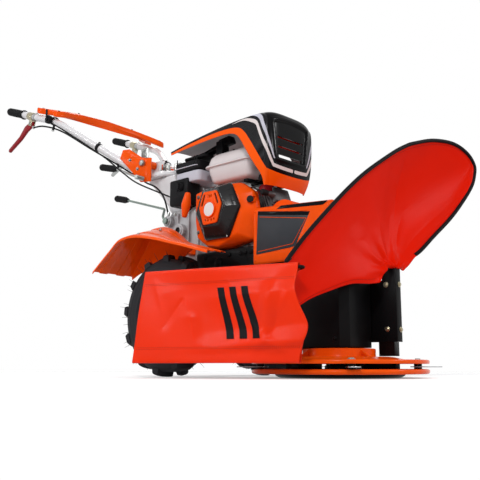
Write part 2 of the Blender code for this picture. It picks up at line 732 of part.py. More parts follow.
def make_nose():
    """Make the orange front cover with its slanted face and its raised rear hump."""
    sections = []
    for x, side_inset in ((-0.125, 0.010), (-0.112, 0.0), (0.112, 0.0), (0.125, 0.010)):
        sections.append([(x, y, z) for y, z in (
            (-0.268, 0.362 + side_inset), (-0.268, 0.566 - side_inset), (-0.330, 0.563 - side_inset),
            (-0.588 + side_inset, 0.546 - side_inset), (-0.594 + side_inset, 0.534 - side_inset),
            (-0.478 + side_inset, 0.362 + side_inset))])
    nose = loft("nose_cover", sections)
    round_edges(nose, 0.005, 2, 25)
    hump = rods("nose_hump", [((-0.060, -0.345, 0.530), (0.100, -0.345, 0.530))], 0.062, 28, False)
    fuse(nose, hump)
    panel = plate("nose_panel", [(-0.285, 0.395), (-0.285, 0.535), (-0.500, 0.522), (-0.452, 0.412)],
                  0.004, "X", -0.1255, keep=False)
    cut(nose, panel)
    hollow = plate("nose_hollow", [(-0.264, 0.340), (-0.264, 0.540), (-0.330, 0.557), (-0.578, 0.540),
                                   (-0.464, 0.340)], 0.240, "X", keep=False)
    cut(nose, hollow)
    cut(nose, rods("hump_hollow", [((-0.055, -0.345, 0.530), (0.095, -0.345, 0.530))], 0.058, 20, False))
    return place(nose, "orange")


# Fenders


def make_fender(name, side):
    """Make a pressed fender over one wheel: a steep outer skirt, a ribbed top and a welded stay."""
    stations = ((0.340, 0.376, 0.004), (0.300, 0.402, 0.020), (0.235, 0.445, 0.045), (0.171, 0.478, 0.052),
                (0.100, 0.484, 0.052), (0.030, 0.478, 0.034), (-0.050, 0.458, 0.018),
                (-0.100, 0.440, 0.012), (-0.160, 0.422, 0.010), (-0.240, 0.400, 0.008),
                (-0.300, 0.388, 0.006))
    across = ((0.364, 0.0, -0.010), (0.360, 0.0, 0.0), (0.336, 1.0, 0.0), (0.312, 1.0, 0.002),
              (0.296, 1.0, -0.006), (0.262, 1.0, -0.006), (0.246, 1.0, 0.004), (0.180, 1.0, 0.004))
    rows = [[(side * x, y, z + share * rise + step) for x, share, step in across] for y, z, rise in stations]
    fender = sheet(name, rows, 0.0025)
    stay = [(0.0668, 0.478), (0.0668, 0.4450), (0.2000, 0.4450), (0.2000, 0.5400), (0.1960, 0.5400),
            (0.1960, 0.4490), (0.0708, 0.4490), (0.0708, 0.478)]
    foot = loft(name + "_stay", [[(side * x, y, z) for x, z in stay] for y in (0.072, 0.108)], keep=False)
    fuse(fender, foot)
    return place(fender, "orange", smooth=50)


# Handlebar column and head


def make_column():
    """Make the white tapered column that stands on the back of the gearcase."""
    sections = []
    for y_low, y_high, half, z in ((0.135, 0.243, 0.050, 0.6323), (0.160, 0.262, 0.046, 0.665),
                                   (0.205, 0.345, 0.052, 0.752), (0.205, 0.375, 0.062, 0.7850)):
        sections.append([(-half, y_low, z), (half, y_low, z), (half, y_high, z), (-half, y_high, z)])
    column = loft("handlebar_column", sections)
    round_edges(column, 0.010, 2, 30)
    inner = []
    for y_low, y_high, half, z in ((0.141, 0.237, 0.044, 0.6250), (0.166, 0.256, 0.040, 0.668),
                                   (0.211, 0.339, 0.046, 0.752), (0.213, 0.366, 0.054, 0.7780)):
        inner.append([(-half, y_low, z), (half, y_low, z), (half, y_high, z), (-half, y_high, z)])
    cut(column, loft("column_hollow", inner, keep=False))
    return place(column, "white")


def make_turntable():
    """Make the round turntable with its clamp bolt and the two ears of the tilt joint."""
    profile = [(0.0, 0.0240), (0.070, 0.0240), (0.084, 0.018), (0.084, 0.0), (0.0, 0.0)]
    table = turned("turntable", profile, (0, YAW_Y, 0.7853), (0, 0, 1), 28)
    bm = bmesh.new()
    for x in (-0.048, 0.048):
        add_box(bm, (x - 0.006, TILT_Y - 0.030, 0.800), (x + 0.006, TILT_Y + 0.024, TILT_Z + 0.016))
    fuse(table, from_bmesh("turntable_ears", bm, keep=False))
    bolt = rods("turntable_bolt", [((0, 0.262, 0.800), (0, 0.262, 0.842))], 0.009, 6, False)
    fuse(table, bolt)
    cut(table, rods("tilt_hole", [((-0.08, TILT_Y, TILT_Z), (0.08, TILT_Y, TILT_Z))], 0.0083, 16, False))
    return place(table, "white", (0, YAW_Y, YAW_Z), YAW)


def make_head():
    """Make the orange handlebar head: a cross tube on the tilt pin and a splayed cheek a side."""
    cheek = [(0.300, 0.765), (0.345, 0.765), (0.378, 0.800), (0.480, 0.898), (0.462, 0.928),
             (0.416, 0.918), (0.340, 0.866), (0.300, 0.862)]
    head = rods("handlebar_head", [((-0.1180, TILT_Y, TILT_Z), (0.1180, TILT_Y, TILT_Z))], 0.0080, 16)
    splay = math.atan2(TUBE_BEND.x - TUBE_ROOT.x, TUBE_BEND.y - TUBE_ROOT.y)
    reach = TUBE_R + 0.0034
    for side in (-1, 1):
        plane = plate("head_cheek", cheek, 0.006, "X", keep=False)
        seat = Vector((side * (TUBE_ROOT.x + reach * math.cos(splay)),
                       TUBE_ROOT.y - reach * math.sin(splay), 0))
        turn = Matrix.Rotation(-side * splay, 4, "Z") @ Matrix.Translation((0, -seat.y, 0))
        plane.data.transform(Matrix.Translation(seat) @ turn)
        fuse(head, plane)
    for low, high in ((-0.112, -0.056), (0.056, 0.112)):
        fuse(head, rods("head_spacer", [((low, TILT_Y, TILT_Z), (high, TILT_Y, TILT_Z))], 0.016, 12, False))
    bridge = plate("head_bridge", [(-0.149, 0.398), (0.149, 0.398), (0.149, 0.424), (-0.149, 0.424)],
                   0.005, "Z", 0.8840, keep=False)
    fuse(head, bridge)
    return place(head, "orange", (0, TILT_Y, TILT_Z), TILT)


def handle_route(side):
    """Return the bent route of one handlebar tube."""
    root = Vector((side * TUBE_ROOT.x, TUBE_ROOT.y, TUBE_ROOT.z))
    bend = Vector((side * TUBE_BEND.x, TUBE_BEND.y, TUBE_BEND.z))
    end = Vector((side * TUBE_END.x, TUBE_END.y, TUBE_END.z))
    return rounded_route([root, bend, end], 0.070, 6)


def handle_point(side, distance):
    """Return a point of the straight top part of a handlebar, counted back from its end."""
    bend = Vector((side * TUBE_BEND.x, TUBE_BEND.y, TUBE_BEND.z))
    end = Vector((side * TUBE_END.x, TUBE_END.y, TUBE_END.z))
    return end + (bend - end).normalized() * distance


def grip_axis(side):
    """Return the direction of a handlebar's top part, towards the operator."""
    return (handle_point(side, 0.0) - handle_point(side, 0.1)).normalized()


def make_handlebars():
    """Make both tubes, and the grips that slide over their ends."""
    for name, side in (("right", -1), ("left", 1)):
        bar = tube("handlebar_" + name, handle_route(side), TUBE_R, 4)
        place(bar, "white", (0, TILT_Y, TILT_Z), TILT)
        start = handle_point(side, GRIP_LENGTH)
        profile = [(0.0, GRIP_LENGTH + 0.004), (0.012, GRIP_LENGTH + 0.004), (GRIP_R, GRIP_LENGTH - 0.002)]
        profile += [(GRIP_R, 0.008), (GRIP_R + 0.003, 0.005), (GRIP_R + 0.003, 0.0), (TUBE_R + SLEEVE_GAP, 0.0),
                    (TUBE_R + SLEEVE_GAP, GRIP_LENGTH + CLEAR), (0.0, GRIP_LENGTH + CLEAR)]
        grip = turned("grip_" + name, profile, start, grip_axis(side), 14)
        place(grip, "rubber", (0, TILT_Y, TILT_Z), TILT)


def make_crossbar():
    """Make the orange brace between the handlebars, with an open fork at each end."""
    half = [(0.0, 0.772), (0.140, 0.776), (0.222, 0.800), (0.262, 0.838), (0.300, 0.846), (0.318, 0.820),
            (0.312, 0.802), (0.274, 0.800), (0.250, 0.772), (0.262, 0.736), (0.306, 0.716),
            (0.302, 0.694), (0.262, 0.690), (0.214, 0.712), (0.140, 0.728), (0.0, 0.734)]
    outline = half + [(-x, y) for x, y in reversed(half[1:-1])]
    holes = [[(side * u, v) for u, v in ((0.246, 0.812), (0.226, 0.778), (0.232, 0.738), (0.216, 0.762))]
             for side in (-1, 1)]
    bar = plate("crossbar", outline, 0.026, "Z", 0.0, holes)
    along = (TUBE_END.z - TUBE_BEND.z) / (TUBE_END.y - TUBE_BEND.y)
    bm = bmesh.new()
    bm.from_mesh(bar.data)
    for vert in bm.verts:
        arch = 0.030 * (1 - (vert.co.x / 0.30) ** 2)
        seat = TUBE_BEND.z + (vert.co.y - TUBE_BEND.y) * along
        vert.co.z += seat + TUBE_R + 0.0165 + max(0.0, arch)
    bm.to_mesh(bar.data)
    bm.free()
    round_edges(bar, 0.004, 1, 50)
    return place(bar, "orange", (0, TILT_Y, TILT_Z), TILT)


LEVER_PIVOT_BACK = 0.190


def lever_pivot(side):
    """Return the pivot of a hand lever, below the tube and ahead of the grip."""
    return handle_point(side, LEVER_PIVOT_BACK) + Vector((0, 0, -0.034))


def make_hand_levers():
    """Make the zinc lever brackets and the two levers under the grips."""
    for name, side in (("right", -1), ("left", 1)):
        pivot = lever_pivot(side)
        bracket = turned("lever_bracket_" + name, [(TUBE_R + 0.003, 0.020), (TUBE_R + 0.003, -0.020),
                                                   (TUBE_R + SLEEVE_GAP, -0.020),
                                                   (TUBE_R + SLEEVE_GAP, 0.020)],
                         handle_point(side, LEVER_PIVOT_BACK), grip_axis(side), 14, closed=True)
        ears = bmesh.new()
        slope = math.atan2(grip_axis(side).z, grip_axis(side).y)
        turn = Matrix.Translation(pivot) @ Matrix.Rotation(slope, 4, "X")
        for offset in (-0.0085, 0.0085):
            add_box(ears, (offset - 0.0015, -0.012, -0.010), (offset + 0.0015, 0.012, 0.0172), turn)
        fuse(bracket, from_bmesh("bracket_ears_" + name, ears, keep=False))
        place(bracket, "zinc", (0, TILT_Y, TILT_Z), TILT)
        make_lever_blade("clutch_lever" if side < 0 else "reverse_lever", pivot)


def make_lever_blade(name, pivot):
    """Make a pressed lever blade that hangs below a grip from its pivot."""
    blade = [(-0.014, 0.008), (-0.010, -0.014), (0.030, -0.028), (0.080, -0.058), (0.176, -0.098),
             (0.184, -0.089), (0.180, -0.080), (0.094, -0.040), (0.050, -0.002), (0.012, 0.008)]
    outline = [(pivot.y + u, pivot.z + v) for u, v in blade]
    lever = plate(name, outline, 0.0130, "X", pivot.x)
    round_edges(lever, 0.0035, 2, 50)
    return place(lever, "red", pivot, TILT)


def make_throttle():
    """Make the round throttle control on the right tube and its thumb lever."""
    centre = Vector((-TUBE_BEND.x - 0.0270, TUBE_BEND.y + 0.024, TUBE_BEND.z + 0.0100))
    profile = [(0.0, 0.008), (0.0165, 0.008), (0.0185, 0.005), (0.0185, -0.008), (0.0, -0.008)]
    body = turned("throttle_body", profile, centre, (-1, 0, 0), 20)
    place(body, "black", (0, TILT_Y, TILT_Z), TILT)
    pivot = centre + Vector((-0.0083, 0, 0))
    lever = rods("throttle_lever", [(pivot, pivot + Vector((-0.0045, 0, 0)))], 0.009, 14)
    arm = box("throttle_arm", pivot + Vector((-0.0045, -0.005, 0.0)), pivot + Vector((0, 0.005, 0.042)),
              keep=False)
    fuse(lever, arm)
    place(lever, "black", pivot, TILT)


HEAD_LEVER_PIVOT = Vector((-0.150, 0.328, 0.776))
GEAR_LEVER_PIVOT = Vector((-0.0935, 0.2150, 0.5900))


def make_lock_lever():
    """Make the tilt lock: a bent rod with a black hand grip."""
    start = HEAD_LEVER_PIVOT
    end = Vector((-0.150, 0.462, 0.834))
    tip = Vector((-0.150, 0.574, 0.864))
    lever = rods("lock_lever", [(start, end)], 0.005, 10)
    hub = rods("lock_hub", [(start - Vector((0.007, 0, 0)), start + Vector((0.0300, 0, 0)))], 0.010, 12, False)
    fuse(lever, hub)
    grip = turned("lock_grip", [(0.0, 0.112), (0.012, 0.110), (0.0145, 0.100), (0.0145, 0.012),
                                (0.011, 0.0), (0.0, 0.0)], end - (tip - end) * 0.02, tip - end, 12, keep=False)
    fuse(lever, grip)
    return place(lever, "black", HEAD_LEVER_PIVOT, TILT)


def make_gear_lever():
    """Make the gear lever: a long rod with a hand grip on its end."""
    route = rounded_route([GEAR_LEVER_PIVOT, (-0.093, 0.262, 0.618), (-0.060, 0.330, 0.680),
                           (-0.030, 0.538, 0.735)], 0.03, 3)
    lever = tube("gear_lever", route, 0.005, 1)
    hub = rods("gear_lever_hub", [(GEAR_LEVER_PIVOT - Vector((0.008, 0, 0)),
                                   GEAR_LEVER_PIVOT + Vector((0.0070, 0, 0)))], 0.012, 10, False)
    fuse(lever, hub)
    start, end = Vector((-0.030, 0.5350, 0.7342)), Vector((-0.0157, 0.6379, 0.7614))
    profile = [(0.0, 0.104), (0.011, 0.102), (0.0145, 0.092), (0.0140, 0.014), (0.008, 0.0), (0.0, 0.0)]
    fuse(lever, turned("gear_lever_grip", profile, start, end - start, 12, keep=False))
    return place(lever, "zinc", GEAR_LEVER_PIVOT)


def make_cables():
    """Make the control cables along the tubes and down to the engine and the gearcase."""
    routes = {
        "clutch_cable_upper": [(-0.2960, 0.880, 1.073), (-0.292, 0.800, 1.062), (-0.270, 0.690, 1.018),
                               (-0.205, 0.570, 0.931), (-0.145, 0.450, 0.8465), (-0.098, 0.330, 0.762)],
        "clutch_cable_lower": [(-0.0976, 0.3291, 0.7615), (-0.0806, 0.2897, 0.7383),
                               (-0.0790, 0.245, 0.690), (-0.0790, 0.2150, 0.6130)],
        "throttle_cable": [(-0.3070, 0.722, 1.0560), (-0.270, 0.640, 0.998), (-0.195, 0.500, 0.888),
                           (-0.158, 0.390, 0.800), (-0.150, 0.300, 0.742), (-0.120, 0.200, 0.690),
                           (-0.090, 0.1700, 0.672)],
    }
    radii = {"clutch_cable_upper": 0.0035, "clutch_cable_lower": 0.0035, "throttle_cable": 0.003}
    for name, points in routes.items():
        parent = ROOT if name == "clutch_cable_lower" else TILT
        cable = tube(name, smooth_route(points, 2), radii[name], 1)
        place(cable, "rubber", Vector(parent["place"]), parent)


# Mower


def make_mower_housing():
    """Make the folded sheet housing over the rotor and the drive tube to the gearcase."""
    outline = [(-0.079, -0.345), (-0.079, -0.579), (-0.056, -0.602), (0.062, -0.602), (0.079, -0.585),
               (0.079, -0.345)]
    housing = plate("mower_housing", outline, HOUSING_Z[1] - HOUSING_Z[0], "Z", sum(HOUSING_Z) / 2)
    inner = plate("housing_hollow", [(-0.075, -0.349), (-0.075, -0.577), (-0.054, -0.598),
                                     (0.060, -0.598), (0.075, -0.583), (0.075, -0.349)],
                  0.248, "Z", HOUSING_Z[1] - 0.004 - 0.124, keep=False)
    cut(housing, inner)
    spindle = rods("rotor_bearing_tube", [((0, ROTOR_Y, 0.1100), (0, ROTOR_Y, 0.3230))], 0.034, 20, False)
    fuse(housing, spindle)
    return place(housing, "black", smooth=0)


def make_drive_tube():
    """Make the drive tube between the gearcase's front flange and the mower's housing."""
    profile = [(0.0, 0.1315), (0.054, 0.1315), (0.054, 0.1200), (0.038, 0.1150), (0.034, 0.0200),
               (0.058, 0.0120), (0.058, 0.0), (0.0, 0.0)]
    shaft = turned("mower_drive_tube", profile, (0, -0.3445, 0.205), (0, 1, 0), 20)
    return place(shaft, "black")


def make_hoop_post():
    """Make the front channel that carries the hoop, with its foot block."""
    web = [(-0.686, 0.110), (-0.612, 0.110), (-0.612, 0.300), (-0.636, 0.305), (-0.636, 0.345),
           (-0.680, 0.345), (-0.686, 0.335)]
    post = plate("hoop_post", web, 0.004, "X", 0.0815)
    lip = box("hoop_post_lip", (0.0800, -0.686, 0.110), (0.108, -0.682, 0.345), keep=False)
    fuse(post, lip)
    tab = box("hoop_post_tab", (0.0795, -0.615, 0.110), (0.0835, -0.570, 0.300), keep=False)
    fuse(post, tab)
    block = box("hoop_post_block", (0.0815, -0.672, 0.0665), (0.110, -0.616, 0.1105), keep=False)
    fuse(post, block)
    return place(post, "black", smooth=0)


def make_rotor():
    """Make the two discs of the rotor: a flat lower one and a domed upper one."""
    low, high = LOWER_DISC
    profile = [(0.0, high), (DISC_R - 0.006, high), (DISC_R, high - 0.005), (DISC_R, low + 0.005),
               (DISC_R - 0.006, low), (DISC_R - 0.014, low), (DISC_R - 0.016, high - SHEET),
               (0.0, high - SHEET)]
    lower = turned("rotor_lower_disc", profile, (0, ROTOR_Y, 0), (0, 0, 1), 28)
    pins = rods("knife_pins", [((x, y, high - 0.002), (x, y, UPPER_DISC[1] - SHEET - CLEAR))
                               for x, y in knife_places()], 0.0120, 8, False)
    fuse(lower, pins)
    hub = rods("rotor_hub", [((0, ROTOR_Y, high - 0.002), (0, ROTOR_Y, RING_TOP - SHEET - CLEAR))],
               0.032, 20, False)
    fuse(lower, hub)
    place(lower, "orange", (0, ROTOR_Y, 0.03))
    low, high = UPPER_DISC
    profile = [(0.0, 0.1050), (0.030, 0.1050), (0.030, RING_TOP), (0.115, RING_TOP), (0.115, 0.0650),
               (0.160, 0.0640), (0.215, high), (DISC_R - 0.005, high), (DISC_R, high - 0.005),
               (DISC_R, low + 0.002), (DISC_R - 0.008, low + 0.002), (DISC_R - 0.010, high - SHEET),
               (0.213, high - SHEET), (0.158, 0.0640 - SHEET), (0.111, 0.0650 - SHEET),
               (0.111, RING_TOP - SHEET), (0.0, RING_TOP - SHEET)]
    upper = turned("rotor_upper_disc", profile, (0, ROTOR_Y, 0), (0, 0, 1), 28)
    bm = bmesh.new()
    for x, y in knife_places():
        add_rod(bm, (x, y, high - 0.002), (x, y, high + 0.005), 0.0085, 6)
    fuse(upper, from_bmesh("knife_bolt_heads", bm, keep=False))
    place(upper, "orange", (0, ROTOR_Y, 0.05))


def knife_places():
    """Return the four pin positions on the rotor."""
    return ring_points((0, ROTOR_Y), PIN_R, 4, math.radians(PIN_START_ANGLE))


def make_knives():
    """Make the four knives that swing on the rotor's pins."""
    outline = [(-0.018, -0.016), (0.052, -0.020), (0.068, -0.016), (0.075, -0.006), (0.075, 0.014),
               (0.052, 0.020), (-0.018, 0.016), (-0.024, 0.0)]
    for number, (x, y) in enumerate(knife_places(), 1):
        turn = math.radians(PIN_START_ANGLE + 90 * (number - 1))
        spun = [(x + u * math.cos(turn) - v * math.sin(turn), y + u * math.sin(turn) + v * math.cos(turn))
                for u, v in outline]
        hole = ring_points((x, y), 0.0137, 8)
        knife = plate(f"knife_{number}", spun, KNIFE_THICKNESS, "Z", KNIFE_Z + KNIFE_THICKNESS / 2, [hole])
        place(knife, "steel", (x, y, KNIFE_Z))


def make_skid_pan():
    """Make the free-turning pan that the mower slides on."""
    profile = [(0.0, LOWER_DISC[1] - SHEET - CLEAR), (0.030, LOWER_DISC[1] - SHEET - CLEAR),
               (0.030, SHEET), (0.186, SHEET), (0.197, 0.0125), (0.203, 0.0095), (0.188, 0.0), (0.0, 0.0)]
    pan = turned("skid_pan", profile, (0, ROTOR_Y, 0), (0, 0, 1), 28)
    return place(pan, "black", (0, ROTOR_Y, 0))


# Canvas guards


def hoop_point(across, z):
    """Return a point of the upright plane that the hoop lies in."""
    point = HOOP_ORIGIN + HOOP_AXIS * across
    return Vector((point.x, point.y, z))


HOOP_UPPER = ((-0.288, 0.383), (-0.227, 0.449), (-0.150, 0.528), (-0.055, 0.610), (0.030, 0.675),
              (0.090, 0.713), (0.125, 0.735), (0.165, 0.756), (0.210, 0.774), (0.300, 0.799),
              (0.400, 0.804), (0.470, 0.780), (0.500, 0.745))
HOOP_RETURN = ((0.502, 0.705), (0.481, 0.658), (0.421, 0.588), (0.359, 0.528), (0.275, 0.460),
               (0.207, 0.404))
CANVAS_LOWER = ((-0.288, 0.205), (-0.245, 0.228), (-0.180, 0.252), (-0.090, 0.280), (-0.010, 0.290),
                (0.035, 0.294), (0.062, 0.352), (0.105, 0.354), (0.128, 0.334), (0.185, 0.384),
                (0.275, 0.454), (0.400, 0.562), (0.494, 0.685))
HOOP_HEEL = ((-0.301, -0.5720, 0.3153), (-0.3015, -0.5740, 0.3400))
HOOP_FOOT = ((0.165, -0.682, 0.378), (0.112, -0.668, 0.352), (0.094, -0.665, 0.332), (0.094, -0.665, 0.260))


def make_hoop_rod():
    """Make the steel rod of the hoop, which stands in the post and leans on the side arm."""
    middle = [hoop_point(s, z) for s, z in HOOP_UPPER[:8:2] + HOOP_UPPER[8:] + HOOP_RETURN]
    route = smooth_route([Vector(p) for p in HOOP_HEEL] + middle + [Vector(p) for p in HOOP_FOOT], 2)
    rod = tube("hoop_rod", route, HOOP_ROD_R, 1)
    return place(rod, "black")


def canvas_point(t, u):
    """Return a point of the hoop's canvas: t runs along the hoop, u from its top to its lower edge."""
    spot = t * (len(HOOP_UPPER) - 1)
    i = min(int(spot), len(HOOP_UPPER) - 2)
    f = spot - i
    top, bottom = [hoop_point(row[i][0] + (row[i + 1][0] - row[i][0]) * f,
                              row[i][1] + (row[i + 1][1] - row[i][1]) * f)
                   for row in (HOOP_UPPER, CANVAS_LOWER)]
    deep = 0.010 + 0.052 * min(1.0, max(0.0, (t - 0.15) / 0.5)) ** 1.5
    belly = deep * math.sin(math.pi * u) * math.sin(math.pi * min(1.0, t + 0.02)) ** 0.6
    margin = (0.011 + 0.012 * t) / (bottom - top).length
    return top.lerp(bottom, margin + (1 - 2 * margin) * u) + Vector((-HOOP_AXIS.y, HOOP_AXIS.x, 0)) * belly


def make_hoop_canvas():
    """Make the bellied canvas that fills the hoop and steps up over the post."""
    rows = []
    for i in range(25):
        rows.append([canvas_point(0.945 * i / 24, j / 6) for j in range(7)])
    return place(sheet("hoop_canvas", rows, CANVAS), "canvas", smooth=60)


CURTAIN_ALONG = (CURTAIN_REAR - CURTAIN_FRONT).normalized()
CURTAIN_OUT = Vector((-CURTAIN_ALONG.y, CURTAIN_ALONG.x, 0))
HEM_STEPS = ((0.036, 0.0034), (0.020, 0.0144), (0.004, 0.0152), (0.0, 0.0070), (0.004, 0.0010))
BAR_INWARD = 0.0078
BAR_DROP = 0.0120


def curtain_point(t, z, inward=0.0):
    """Return a point of the side guard: t runs from front to rear, inward is towards the machine."""
    u = (CURTAIN_TOP - z) / (CURTAIN_TOP - CURTAIN_BOTTOM)
    flare = 0.045 * u ** 1.6 * (0.15 + 0.85 * t)
    fold = 0.010 * math.sin(7.0 * t + 2.2 * u) * math.sin(math.pi * u)
    crease = 0.013 * math.exp(-((t - 0.20 - 0.14 * (u - 0.6)) / 0.045) ** 2) * math.sin(math.pi * u) ** 2
    wave = 0.037 * math.exp(-((u - 0.66) / 0.20) ** 2) - 0.008 * math.exp(-((u - 0.22) / 0.12) ** 2)
    slide = 0.030 * u * t - wave * (1 - t) ** 5
    base = CURTAIN_FRONT.lerp(CURTAIN_REAR, t) + CURTAIN_ALONG * slide
    return base + CURTAIN_OUT * (flare + fold + crease - inward) + Vector((0, 0, z))


def make_side_canvas():
    """Make the side guard with its folds and a tubular hem at its top and bottom edges."""
    rows = []
    for i in range(14):
        t = i / 13
        row = [curtain_point(t, CURTAIN_TOP - drop, inward) for drop, inward in HEM_STEPS]
        for j in range(1, 8):
            row.append(curtain_point(t, CURTAIN_TOP + (CURTAIN_BOTTOM - CURTAIN_TOP) * j / 8))
        row += [curtain_point(t, CURTAIN_BOTTOM + drop, inward) for drop, inward in reversed(HEM_STEPS)]
        rows.append(row)
    return place(sheet("side_canvas", rows, CANVAS), "canvas", smooth=60)


def make_side_arm():
    """Make the bent rod from the housing that carries the side guard by its top hem."""
    def bar(t):
        return curtain_point(t, CURTAIN_TOP - BAR_DROP, BAR_INWARD) + Vector((0, 0, 0.0006))
    front = curtain_point(0.0, CURTAIN_TOP - BAR_DROP, BAR_INWARD)
    turn_out = front - CURTAIN_ALONG * 0.016
    turn_in = turn_out - CURTAIN_OUT * 0.024
    inner = rounded_route([(-0.0835, -0.500, 0.3050), (-0.200, -0.535, 0.3050), (-0.300, -0.570, 0.3050),
                           turn_in, turn_out, bar(0.05)], 0.011, 3)
    arm = tube("side_arm", inner + [bar(0.05 + 0.92 * i / 6) for i in range(1, 7)], 0.0050, 1)
    pad = box("side_arm_pad", (-0.0835, -0.530, 0.270), (-0.0793, -0.470, 0.322), keep=False)
    fuse(arm, pad)
    return place(arm, "black")


def build_model():
    """Build every sub-part."""
    make_wheels()
    make_gearcase()
    make_engine_frame()
    make_crankcase()
    make_cylinder_head()
    make_fan_shroud()
    make_recoil_cover()
    make_recoil_plate()
    make_starter_grip()
    make_fuel_tank()
    make_tank_cap()
    make_air_filter()
    make_carburettor()
    make_choke_lever()
    make_muffler()
    make_switch_box()
    make_hood()
    make_hood_bracket()
    make_nose()
    make_fender("fender_right", -1)
    make_fender("fender_left", 1)
    make_column()
    make_turntable()
    make_head()
    make_handlebars()
    make_crossbar()
    make_hand_levers()
    make_throttle()
    make_lock_lever()
    make_gear_lever()
    make_cables()
    make_mower_housing()
    make_drive_tube()
    make_hoop_post()
    make_rotor()
    make_knives()
    make_skid_pan()
    make_hoop_rod()
    make_side_arm()
    make_hoop_canvas()
    make_side_canvas()


build_model()
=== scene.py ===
"""Walk-behind tractor with a front disc mower: its visible surfaces, studio and camera.

Lengths are metres. The classes place their pieces in the tractor's own frame, whose origin
is on the ground under the wheel axle, with +X to the machine's left, -Y to the mower and
+Z up. The settle function moves each finished mesh into the shared frame.
"""

import json
import logging
import math
from dataclasses import dataclass
from enum import Enum
from typing import Callable, Iterable, Optional, Sequence

import bmesh
import bpy
from bmesh.types import BMVert, BMesh
from bpy.types import Material, Node, NodeOutputs, NodeSocket, NodeTree, Object, Scene
from mathutils import Matrix, Vector


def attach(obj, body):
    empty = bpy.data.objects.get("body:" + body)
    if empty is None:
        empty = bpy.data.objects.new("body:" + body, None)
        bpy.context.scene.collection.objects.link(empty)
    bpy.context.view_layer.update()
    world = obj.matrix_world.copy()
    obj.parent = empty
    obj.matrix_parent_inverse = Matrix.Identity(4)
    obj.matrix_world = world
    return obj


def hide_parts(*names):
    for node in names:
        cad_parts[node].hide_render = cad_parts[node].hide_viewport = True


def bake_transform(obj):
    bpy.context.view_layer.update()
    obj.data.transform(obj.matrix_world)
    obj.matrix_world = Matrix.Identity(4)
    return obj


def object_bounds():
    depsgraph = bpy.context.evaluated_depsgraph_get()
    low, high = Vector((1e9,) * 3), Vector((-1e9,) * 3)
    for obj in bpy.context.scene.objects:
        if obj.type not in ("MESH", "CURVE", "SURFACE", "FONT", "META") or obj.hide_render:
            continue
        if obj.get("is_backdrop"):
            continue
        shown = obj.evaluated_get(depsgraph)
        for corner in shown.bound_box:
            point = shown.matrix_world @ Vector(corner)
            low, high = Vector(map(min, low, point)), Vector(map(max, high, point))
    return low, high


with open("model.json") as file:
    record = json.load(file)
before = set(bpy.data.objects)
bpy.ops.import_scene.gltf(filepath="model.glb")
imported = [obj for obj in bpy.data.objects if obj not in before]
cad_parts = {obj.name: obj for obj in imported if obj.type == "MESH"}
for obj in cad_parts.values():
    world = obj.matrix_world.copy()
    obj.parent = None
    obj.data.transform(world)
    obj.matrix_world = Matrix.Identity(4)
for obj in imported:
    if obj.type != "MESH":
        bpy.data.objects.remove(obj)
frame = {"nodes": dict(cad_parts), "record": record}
CAD_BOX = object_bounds()
LOG = logging.getLogger("walk_behind_mower")

Point = Sequence[float]
Profile = Sequence[tuple[float, float]]

SHIFT = Vector((0.0198, -0.1482, 0))
AXLE_Z = 0.2075
CRANK = Vector((0, -0.107, 0.575))
ROTOR = Vector((0, -0.52, 0))
SIDES = (("right", -1), ("left", 1))


# Shared choices


class Body(str, Enum):
    """The moving bodies that a piece can ride on."""

    CHASSIS = "chassis"
    WHEELS = "wheels"
    ROTOR = "rotor"
    KNIFE_A = "knife_a"
    KNIFE_B = "knife_b"
    KNIFE_C = "knife_c"
    KNIFE_D = "knife_d"
    PAN = "pan"
    TURNTABLE = "turntable"
    HANDLEBAR = "handlebar"
    CLUTCH_LEVER = "clutch_lever"
    REVERSE_LEVER = "reverse_lever"
    THROTTLE_LEVER = "throttle_lever"
    LOCK_LEVER = "lock_lever"
    GEAR_LEVER = "gear_lever"
    CHOKE_LEVER = "choke_lever"
    SWITCH = "engine_switch"
    TANK_CAP = "tank_cap"
    STARTER = "starter_grip"


class Grain(Enum):
    """The fine surface that a finish carries."""

    PEEL = "orange_peel"
    CAST = "sand_cast_skin"
    MOULD = "moulded_grain"
    BRUSHED = "brushed_lines"
    CLOTH = "coated_cloth_weave"
    TWILL = "carbon_twill"


# Shader node groups


def start_group(name: str, scale: float) -> tuple:
    """Start a grain's node group, which takes a vector and a scale and gives a height and patches.

    Args:
        name: The group's name.
        scale: The scale's default.

    Returns:
        The tree, its output node, and the vector and scale sockets inside it.
    """
    tree = bpy.data.node_groups.new(name, "ShaderNodeTree")
    tree.interface.new_socket("Vector", in_out="INPUT", socket_type="NodeSocketVector")
    socket = tree.interface.new_socket("Scale", in_out="INPUT", socket_type="NodeSocketFloat")
    socket.default_value = scale
    for label in ("Height", "Patches"):
        tree.interface.new_socket(label, in_out="OUTPUT", socket_type="NodeSocketFloat")
    start, end = tree.nodes.new("NodeGroupInput"), tree.nodes.new("NodeGroupOutput")
    return tree, end, start.outputs["Vector"], start.outputs["Scale"]


def feed(tree: NodeTree, socket: NodeSocket, value: object) -> None:
    """Link a socket to another one, or set it to a plain value."""
    if isinstance(value, NodeSocket):
        tree.links.new(value, socket)
    else:
        socket.default_value = value


def add_node(tree: NodeTree, kind: str, settings: Optional[dict] = None, **inputs: object) -> Node:
    """Add a shader node.

    Args:
        tree: The node tree.
        kind: The node's type, without its ShaderNode prefix.
        settings: The node's own properties.
        inputs: A socket or a value for each input, by its label with _ for a space.

    Returns:
        The node.
    """
    node = tree.nodes.new("ShaderNode" + kind)
    for name, value in (settings or {}).items():
        setattr(node, name, value)
    for label, value in inputs.items():
        feed(tree, node.inputs[label.replace("_", " ")], value)
    return node


